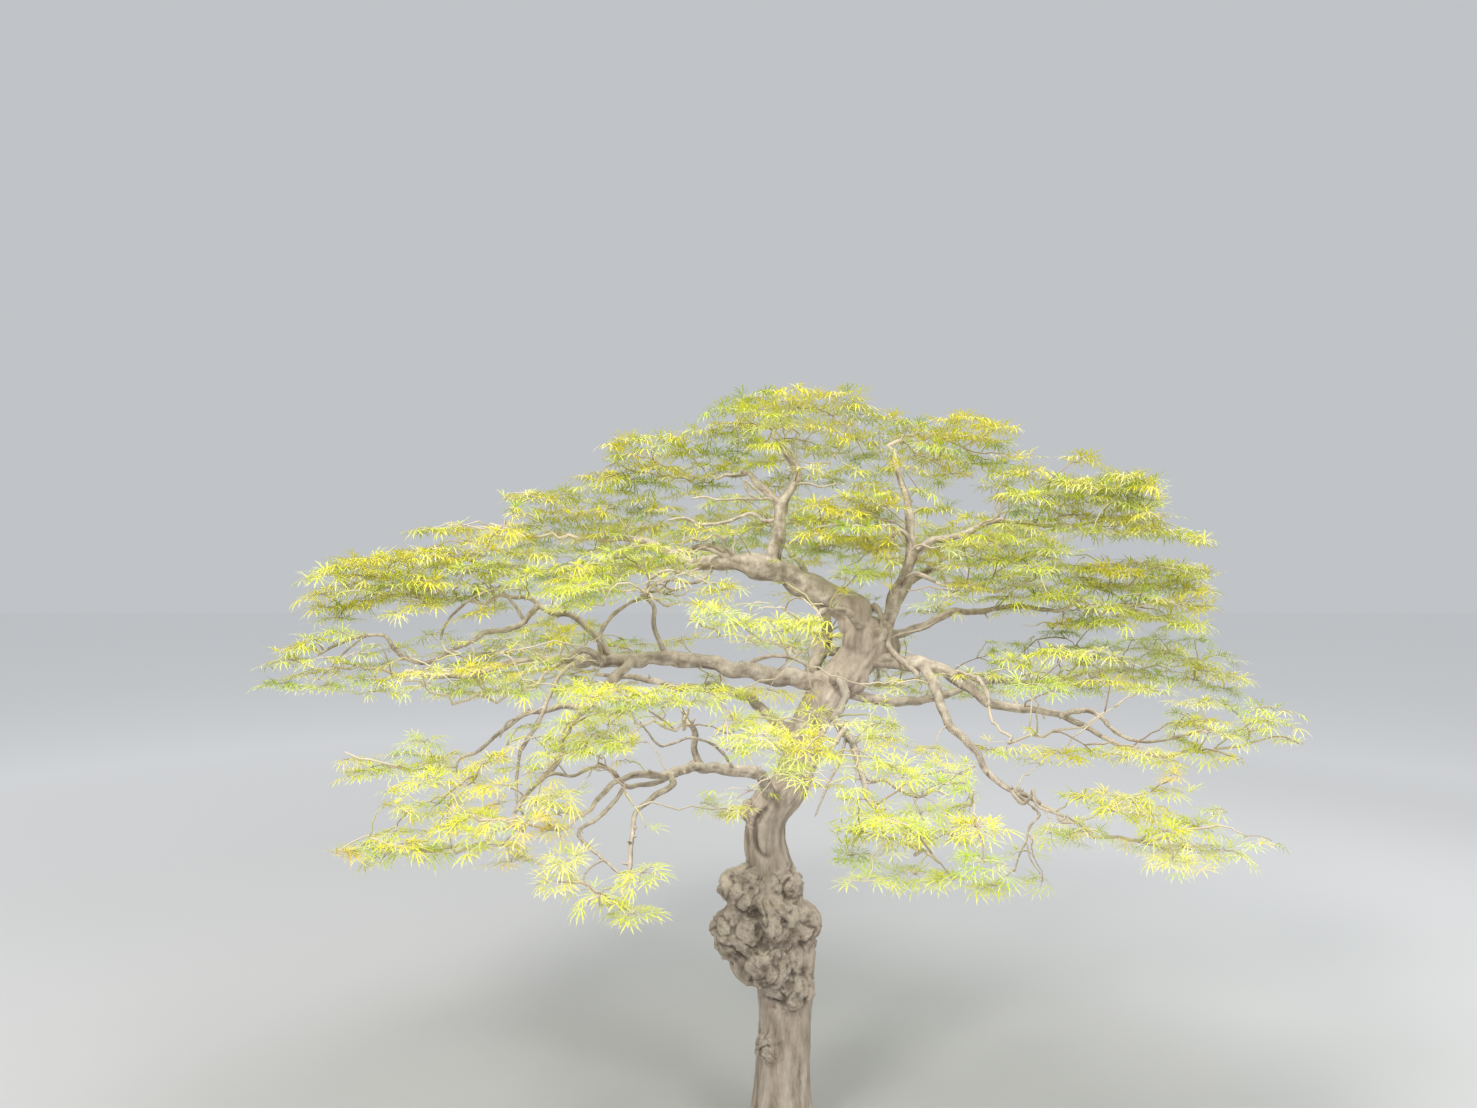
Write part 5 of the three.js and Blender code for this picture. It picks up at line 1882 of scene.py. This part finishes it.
@dataclass
class Foliage:
    """One mass of foliage: its stem, twigs and leaves, grown by the solids' rule and on to finer twigs."""

    crown: Crown
    limb: LimbLine
    first_twigs: int = 11
    tries_area: float = 1500.0
    leaf_length: tuple[float, float] = (50.0, 63.0)
    heights: tuple[float, float] = (1450.0, 1850.0)
    spray_radius: tuple[float, float] = (64.0, 98.0)
    bough_gap: float = 24.0
    skin: float = 0.99
    steps: int = 6
    # Painted light and shade: sprays in a pad's upper layers are dealt more gold and lemon, those in its lower
    # layers more lime and pale.
    upper_painted_light_tints: tuple[float, ...] = (1.3, 1.15, 0.8, 0.8, 1, 1)
    lower_painted_shade_tints: tuple[float, ...] = (0.7, 0.9, 1.3, 1.2, 1, 1)
    shoots: list[Shoot] = field(default_factory=list)
    sprays: list[Spray] = field(default_factory=list)
    joints: list[tuple[Array, Array]] = field(default_factory=list)
    load: list[int] = field(default_factory=list)

    def __post_init__(self) -> None:
        """Takes the pad and a seeded stream."""
        self.pad = self.limb.pad
        self.rng = np.random.default_rng(self.limb.seed * 17 + 3)
        self.name = f"foliage_{self.pad.row.name}"

    def add_joints(self, way: Array, shares: tuple[float, ...]) -> None:
        """Lets later twigs leave a way.

        Args:
            way: The way's points.
            shares: Where they may leave it.
        """
        places = np.linspace(0, 1, len(way))
        aims = unit(np.gradient(way, axis=0))
        for share in shares:
            point = np.array([np.interp(share, places, way[:, k]) for k in range(3)])
            aim = np.array([np.interp(share, places, aims[:, k]) for k in range(3)])
            self.joints.append((point, unit(aim)))
            self.load.append(0)

    def kinked(self, way: Array, share: float) -> Array:
        """Adds small kinks to a way.

        Args:
            way: The way's points.
            share: The kinks' size, as a share of its length.

        Returns:
            The points, of which the two ends stay.
        """
        length = float(np.linalg.norm(way[-1] - way[0]))
        jitter = self.rng.normal(size=way.shape) * share * length
        jitter[0] = jitter[-1] = 0
        return way + jitter

    def grow_stem(self) -> None:
        """Grows the stem from the bough's tip past the pad's middle."""
        aim = self.limb.aim(1.0)
        start = self.limb.points(np.array([1.0]))[0] - aim * 4
        onward = unit((self.pad.middle - start) * [1, 1, 0])
        end = self.pad.middle + onward * STEM_REACH * self.pad.reach(onward)
        end = end - UP * STEM_SINK * self.pad.row.half[2]
        bend = start + aim * STEM_STRAIGHT * np.linalg.norm(end - start)
        way = self.kinked(bezier(start, bend, end, np.linspace(0, 1, 14)), 0.02)
        self.shoots.append(Shoot(way, self.limb.row.thin * 0.98, 2.6, 0))
        self.add_joints(way, (0.12, 0.25, 0.38, 0.5, 0.62, 0.75, 0.88, 1.0))

    def grow_twigs(
        self, count: int, inner: float, inset: float, layers: tuple[float, ...], generation: int
    ) -> None:
        """Grows twigs to points spread evenly over the pad's layers, each with its spray.

        Args:
            count: How many twigs are tried.
            inner: Twigs end outside this share of the pad.
            inset: How far inside the pad's rim they end, in millimetres.
            layers: The layers' heights, as shares of the pad's half height.
            generation: 1 for the solids' own twigs, 2 for the finer ones.
        """
        dice = Dice(self.pad.seed + 500 * (generation - 1))
        shift = (dice.roll(), dice.roll())
        along, across, up = self.pad.row.half
        for k in range(count):
            out = inner + (1 - inner) * ((shift[0] + (k + 1) * SPREAD[0]) % 1)
            out = out if generation == 1 else math.sqrt(out)
            turn = 2 * math.pi * ((shift[1] + (k + 1) * SPREAD[1]) % 1)
            layer = layers[k % len(layers)]
            ahead = self.pad.outward * out * math.cos(turn) * max(0.3 * along, along - inset)
            aside = self.pad.aside * out * math.sin(turn) * max(0.3 * across, across - inset)
            wobble = 0.0 if generation == 1 else self.rng.uniform(-0.1, 0.1)
            above = UP * up * (layer + wobble + 0.2 - PAD_DROOP * out**2)
            reach = self.pad.middle + ahead + aside + above
            radius = self.rng.uniform(*self.spray_radius)
            if self.has_place(reach, radius):
                self.grow_to(reach, layer, generation, radius)

    def is_open(self, point: Array) -> bool:
        """Finds whether a twig's end lies in an opening that stays free.

        Args:
            point: The twig's end, in millimetres.

        Returns:
            Whether it does.
        """
        seen = PHOTO.pixels(point)[None]
        for opening in OPENINGS:
            if opening.hides(seen, point[None]) > 0 and self.rng.uniform() > opening.kept_twigs():
                return True
        return False

    def has_place(self, middle: Array, radius: float) -> bool:
        """Returns whether a spray has room and lies in no opening that stays free."""
        return not self.is_open(middle) and self.crown.has_room(middle, radius)

    def grow_to(
        self, reach: Array, layer: float, generation: int, radius: float, tint: Tint | None = None
    ) -> None:
        """Grows a twig from the handiest joint to a point, and a spray on it.

        Args:
            reach: Where the twig ends.
            layer: The spray's layer in the pad, from -1 to 1.
            generation: 1 for the solids' own twigs, 2 for the finer ones.
            radius: The spray's size.
            tint: The spray's tint, if it is placed after the photograph. Then it needs no room in the pad.
        """
        points = np.array([joint[0] for joint in self.joints])
        aims = np.array([joint[1] for joint in self.joints])
        gaps = reach - points
        lengths = np.linalg.norm(gaps, axis=1)
        cost = lengths * (STRAIGHTNESS - (unit(gaps) * aims).sum(-1))
        if generation > 1:
            cost = cost * (1 + 0.12 * np.array(self.load)) + 25 * (lengths < 30)
        best = int(np.argmin(cost))
        far = lengths[best]
        middle = points[best] + TWIG_AT * gaps[best] + UP * TWIG_RISE * far + aims[best] * TWIG_ONWARD * far
        way = bezier(points[best], middle, reach, np.linspace(0, 1, self.steps + 1))
        clear = self.crown.skeleton.clearance(way[2:]).min()
        if tint is None and (far < 30 or clear < 3 or self.pad.depth(way[1:]).max() > self.skin):
            return
        self.load[best] += 1
        thick, thin = (3.4, 1.9) if generation == 1 else (2.3, 1.4)
        self.shoots.append(Shoot(self.kinked(way, 0.022), thick, thin, generation))
        self.add_joints(way, (0.35, 0.6, 0.85) if generation == 1 else (0.5, 0.8))
        self.add_spray(way, radius, layer, tint)

    def add_spray(self, way: Array, radius: float, layer: float, fixed: Tint | None = None) -> None:
        """Sets a spray on a twig's end, tipped with the crown's fall.

        Args:
            way: The twig's way.
            radius: The spray's size.
            layer: Its layer in the pad, from -1 to 1.
            fixed: Its tint, if the photograph gives it. Else the mass's shares deal it out.
        """
        aim = unit((way[-1] - way[-2]) * [1, 1, 0])
        outward = unit(way[-1] * [1, 1, 0])
        tilt = outward * self.rng.uniform(0.0, 0.16) + self.rng.normal(size=3) * 0.06
        shares = np.array(self.pad.row.mood.value)
        # Painted light on the upper sprays and painted shade, greener, on the lower ones.
        shares = shares * np.array(self.upper_painted_light_tints if layer > 0 else self.lower_painted_shade_tints)
        tint = int(self.rng.choice(len(Tint), p=shares / shares.sum()))
        tint = tint if fixed is None else list(Tint).index(fixed)
        self.sprays.append(Spray(way[-1], aim, unit(UP + tilt), radius, tint))
        self.crown.take(way[-1], radius)

    def grow_bough_sprays(self, count: int) -> None:
        """Tries twigs with sprays along the bough's outer part.

        Args:
            count: How many are tried.
        """
        limb = self.limb
        for _ in range(count):
            share = self.rng.uniform(0.34, 0.98)
            base = limb.points(np.array([share]))[0]
            aim = limb.aim(share)
            side = unit(np.cross(aim, UP)) * self.rng.choice((-1, 1))
            out = self.rng.uniform(40, 175)
            end = base + side * out + aim * self.rng.uniform(0, 90) + UP * self.rng.uniform(-30, 120)
            radius = self.rng.uniform(*self.spray_radius) * 0.9
            bend = base + (end - base) * 0.45 + UP * 0.25 * out
            way = bezier(base, bend, end, np.linspace(0, 1, self.steps + 1))
            if self.has_place(end, radius) and self.crown.skeleton.clearance(way[3:]).min() > 14:
                self.shoots.append(Shoot(self.kinked(way, 0.025), 2.9, 1.5, 2))
                self.add_spray(way, radius, self.rng.uniform(-0.4, 0.4))

    def grow_frame(self) -> None:
        """Grows the stem, the branchlets' joints and the tufts placed after the photograph."""
        self.grow_stem()
        for name, branchlet in BRANCHLETS.items():
            if branchlet.mass == self.limb.row.name:
                self.add_joints(self.crown.skeleton.branchlets[name], (0.3, 0.45, 0.6, 0.75, 0.88, 0.98))
        for row in TUFTS.get(self.limb.row.name, ()):
            tuft = Tuft(*row)
            middle = PHOTO.point(tuft.across, tuft.down, tuft.back)
            self.grow_to(middle, 0.3, 2, tuft.radius, tuft.tint)

    def fill(self) -> None:
        """Grows the other twigs and sprays wherever they have room."""
        along, across, _ = self.pad.row.half
        share = FULLNESS.get(self.limb.row.name, 1.0)
        tries = int(share * math.pi * along * across / self.tries_area)
        self.grow_twigs(round(share * self.first_twigs), 0.5, 178.0, (-0.36, 0.36), 1)
        self.grow_twigs(tries, 0.0, 88.0, (0.5, -0.42, 0.05), 2)
        self.grow_bough_sprays(round(share * self.limb.length / self.bough_gap))

    def spray_leaves(self, spray: Spray) -> list[LeafPlace]:
        """Grows a spray's short shoots and its leaves.

        Args:
            spray: The spray.

        Returns:
            The leaves' places.
        """
        rng = self.rng
        across = unit(np.cross(spray.normal, spray.aim))
        ahead = np.cross(across, spray.normal)
        basis = np.stack([ahead, across, spray.normal], axis=1)
        shares = np.array(self.pad.row.mood.value) / sum(self.pad.row.mood.value)
        leaves: list[LeafPlace] = []

        def leaf(root: Array, yaw: float, pitch: float, chances: tuple[float, ...], size: float) -> None:
            """Adds a leaf.

            Args:
                root: Where its stalk starts.
                yaw: Its heading in the spray.
                pitch: How far it tips down.
                chances: The chance of each habit.
                size: Its size, as a share of the spray's leaf length.
            """
            turn = Matrix.Rotation(yaw, 3, "Z") @ Matrix.Rotation(pitch, 3, "Y")
            turn = turn @ Matrix.Rotation(rng.normal() * 0.13, 3, "X")
            habit = list(Habit)[int(rng.choice(4, p=chances))]
            tint = spray.tint if rng.uniform() < 0.8 else int(rng.choice(len(Tint), p=shares))
            leaves.append(LeafPlace(root, basis @ np.array(turn), size * length, habit, tint))

        length = float(np.interp(spray.middle[2], self.heights, self.leaf_length))
        rising = float(np.interp(spray.middle[2], self.heights, (0.0, 0.3)))
        outward = math.hypot(spray.middle[0] + 60, spray.middle[1]) / 1150
        rim = min(1.0, max(0.0, (outward - 0.55) / 0.45))
        ends = np.array([0.14, 0.5, 0.28, 0.08]) * (1 - rim) + np.array([0.03, 0.4, 0.35, 0.22]) * rim
        ends = ends * (1 - rising) + np.array([0.7, 0.3, 0.0, 0.0]) * rising
        hub = (0.6 + rising, 0.4 - rising, 0.0, 0.0)
        for _ in range(2):
            leaf(spray.middle, rng.uniform(-math.pi, math.pi), rng.normal() * 0.12, hub, 0.9)
        count = int(rng.integers(4, 7))
        start = rng.uniform(-0.5, 0.5)
        for k in range(count):
            turn = start + 2 * math.pi * (k + rng.uniform(-0.22, 0.22)) / count
            far = spray.radius * (0.6 + 0.2 * math.cos(turn)) * rng.uniform(0.75, 1.15)
            way_out = basis @ np.array([math.cos(turn), math.sin(turn), 0.0])
            end = spray.middle + way_out * far - spray.normal * 0.1 * far
            if self.is_open(end):
                continue
            bend = spray.middle + way_out * 0.5 * far + spray.normal * 0.16 * far
            way = self.kinked(bezier(spray.middle, bend, end, np.linspace(0, 1, 4)), 0.03)
            self.shoots.append(Shoot(way, 1.35, 0.8, 3))
            leaf(end, turn + rng.normal() * 0.2, 0.04 + rng.normal() * 0.08, tuple(ends), 1.0)
            for share, spread, lean, likely in ((1, 0.95, 0.05, 0.6), (2, 1.0, 0.1, 1.0)):
                for side in (-1, 1):
                    if rng.uniform() < likely:
                        yaw = turn + side * spread + rng.normal() * 0.2
                        chances = (0.3, 0.5, 0.2, 0.0) if share == 1 else (0.12, 0.48, 0.32, 0.08)
                        leaf(way[share], yaw, lean + rng.normal() * 0.08, chances, rng.uniform(0.72, 1.05))
        return leaves

    def leaves(self) -> Mesh:
        """Returns the leaves as one mesh, coloured spray by spray."""
        places = [leaf for spray in self.sprays for leaf in self.spray_leaves(spray)]
        heap = Heap()
        for habit in Habit:
            shapes = self.crown.shapes[habit]
            mine = [place for place in places if place.habit is habit]
            for number, shape in enumerate(shapes):
                if mine[number::len(shapes)]:
                    self.set_leaves(heap, shape, mine[number::len(shapes)])
        return heap.mesh(f"leaves_{self.pad.row.name}")

    def set_leaves(self, heap: Heap, shape: LeafShape, places: list[LeafPlace]) -> None:
        """Adds leaves that stay in the tree's box and leave limbs and openings clear.

        Args:
            heap: Where they are added.
            shape: Their shape.
            places: Their places.
        """
        roots = np.array([place.root for place in places])
        turns = np.array([place.turn for place in places])
        sizes = np.array([place.size for place in places])
        corners = np.einsum("nij,vj->nvi", turns, shape.points) * sizes[:, None, None] + roots[:, None, :]
        inside = (corners > self.crown.low).all((1, 2)) & (corners < self.crown.high).all((1, 2))
        tested = corners[:, ::7]
        room = self.crown.skeleton.clearance(tested.reshape(-1, 3)).reshape(tested.shape[:2])
        clear = room.min(axis=1) > 1.5
        pixels = PHOTO.pixels(tested)
        for opening in OPENINGS:
            hidden = opening.hides(pixels, tested) > 0.2
            clear &= ~hidden | (self.rng.uniform(size=len(places)) < opening.kept)
        for shown in self.crown.skeleton.shown:
            hidden = shown.hidden_by(pixels, tested)
            clear &= ~hidden | (self.rng.uniform(size=len(places)) < shown.kept)
        for leaf in np.flatnonzero(inside & clear):
            heap.add(corners[leaf], shape.faces, 2 * places[leaf].tint + shape.tips)

    def wood(self) -> Mesh:
        """Returns the twigs as one mesh."""
        heap = Heap()
        for shoot in self.shoots:
            shares = np.linspace(0, 1, len(shoot.way))
            radii = shoot.thick + (shoot.thin - shoot.thick) * shares
            sides = (7, 5, 4, 3)[shoot.generation]
            slot = 0 if shoot.generation < 2 else int(self.rng.choice(3, p=(0.5, 0.25, 0.25)))
            heap.add(*tube(shoot.way, radii, sides), slot)
        mesh = heap.mesh(f"twigs_{self.pad.row.name}")
        shade_smooth(mesh)
        return mesh

    def build(self, twig_looks: list[Material], leaf_looks: list[Material]) -> tuple[int, int]:
        """Builds the mass's two pieces, which replace its node.

        Args:
            twig_looks: The twigs' materials.
            leaf_looks: The leaves' materials, two a tint.

        Returns:
            How many faces its leaves and its twigs have.
        """
        self.fill()
        leaf_mesh = self.leaves()
        leaves = new_piece(leaf_mesh.name, leaf_mesh, leaf_looks)
        twig_mesh = self.wood()
        twigs = new_piece(twig_mesh.name, twig_mesh, twig_looks)
        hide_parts(self.name)
        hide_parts(self.name)
        return len(leaf_mesh.polygons), len(twig_mesh.polygons)


@dataclass(frozen=True)
class Lamp:
    """A soft square lamp: its name, its place and side in metres, its watts and its colour."""

    name: str
    place: tuple[float, float, float]
    size: float
    power: float
    colour: Colour

    def build(self) -> None:
        """Builds the lamp."""
        light = bpy.data.lights.new(self.name, "AREA")
        light.size = self.size
        light.energy = self.power
        light.color = self.colour
        lamp = bpy.data.objects.new(self.name, light)
        lamp.location = self.place
        lamp.rotation_euler = (Vector((0, 0, 1.4)) - Vector(self.place)).to_track_quat("-Z", "Y").to_euler()
        bpy.context.scene.collection.objects.link(lamp)


@dataclass
class Studio:
    """The floor, painted darker near the tree and paler far off, soft light and the photograph's camera."""

    sensor: float = 36.0
    floor_size: float = 60.0
    # Painted light: the floor is dark near the tree, against the lamps' pool of light, and pale far off, to
    # meet the sky.
    floor_near_painted_dark: Colour = (0.5, 0.5, 0.495)
    floor_far_painted_bright: Colour = (0.96, 0.96, 0.96)
    sky_colour: Colour = (0.93, 0.96, 1.0)
    sky_strength: float = 0.57
    lamps: tuple[Lamp, ...] = (
        Lamp("key", (-2.4, -3.8, 5.4), 1.6, 265.0, (1.0, 0.98, 0.93)),
        Lamp("side", (3.4, -4.4, 4.6), 1.8, 120.0, (1.0, 1.0, 0.98)),
        Lamp("top", (0.4, 0.2, 5.6), 2.4, 90.0, (1.0, 1.0, 0.98)),
        Lamp("rim", (3.2, 2.4, 4.0), 2.4, 60.0, (0.95, 0.98, 1.0)),
    )

    def build(self) -> None:
        """Builds the floor, the sky, the lights and the camera."""
        scene = bpy.context.scene
        half = self.floor_size / 2
        corners = np.array([(-half, -half, 0), (half, -half, 0), (half, half, 0), (-half, half, 0)]) / MM
        floor = bpy.data.objects.new("floor", new_mesh("floor", corners, np.array([(0, 1, 2), (0, 2, 3)])))
        floor.data.materials.append(self.floor_painted_light())
        scene.collection.objects.link(floor)
        floor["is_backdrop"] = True
        world = bpy.data.worlds.new("soft_sky")
        world.use_nodes = True
        sky = world.node_tree.nodes["Background"]
        sky.inputs["Color"].default_value = (*self.sky_colour, 1)
        sky.inputs["Strength"].default_value = self.sky_strength
        scene.world = world
        scene.view_settings.view_transform = "Standard"
        for lamp in self.lamps:
            lamp.build()
        camera = bpy.data.cameras.new("photo_view")
        camera.sensor_width = self.sensor
        camera.lens = PHOTO.focal / PHOTO.width * self.sensor
        eye = bpy.data.objects.new("photo_view", camera)
        eye.location = np.array(PHOTO.eye) * MM
        eye.rotation_euler = (math.pi / 2, 0, 0)
        scene.collection.objects.link(eye)
        scene.camera = eye

    def floor_painted_light(self) -> Material:
        """Returns the floor's material, with painted light: darker near the tree, where the lamps' light
        pools, and paler with distance until it meets the sky.
        """
        sheet = NodeSheet("floor_plain")
        even = sheet.stretched((1, 1, 1))
        away = sheet.add("ShaderNodeVectorMath", {0: even}, operation="LENGTH").outputs["Value"]
        # Painted light: the colour runs from the dark near floor to the pale far floor between 1.5 and 8
        # metres.
        colour = sheet.blend(sheet.span(away, 1.5, 8.0, (0.0, 1.0)), self.floor_near_painted_dark, self.floor_far_painted_bright)
        return sheet.finished({"Base Color": colour, "Roughness": 1.0, "Specular IOR Level": 0.0})


def main() -> None:
    """Builds the trunk, the boughs and the masses of foliage, and then the studio."""
    logging.basicConfig(level=logging.INFO, format="%(message)s")
    # Blender's noise vectors would otherwise differ from run to run, because they start from the clock.
    noise.seed_set(NOISE_SEED)
    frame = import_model()
    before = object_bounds()
    LOG.info("frame: %d nodes", len(frame["nodes"]))
    skeleton = Skeleton()
    trunk = TrunkWood(skeleton).build()
    LOG.info("%s: %d faces", trunk.name, len(trunk.data.polygons))
    young_bark = YOUNG_BARK.make()
    for limb in skeleton.limbs.values():
        wood = BoughWood(skeleton, limb).build(young_bark)
        LOG.info("%s: %d faces", wood.name, len(wood.data.polygons))
    twig_looks = [finish.make() for finish in TWIG_FINISHES]
    leaf_looks = [material for tint in Tint for material in tint.materials()]
    slack = [0.03 * (high - low) + 0.008 for low, high in zip(*before)]
    low = np.array([corner - room for corner, room in zip(before[0], slack)]) / MM
    high = np.array([corner + room for corner, room in zip(before[1], slack)]) / MM
    crown = Crown(skeleton, low, high)
    total = np.zeros(2, dtype=int)
    masses = [Foliage(crown, limb) for limb in skeleton.limbs.values()]
    for foliage in masses:
        foliage.grow_frame()
    for foliage in masses:
        counts = foliage.build(twig_looks, leaf_looks)
        total += counts
        LOG.info("%s: %d sprays, %d leaf faces, %d twig faces", foliage.name, len(foliage.sprays), *counts)
    LOG.info("leaf faces %d and twig faces %d in all", *total)
    Studio().build()


if __name__ == "__main__":
    main()
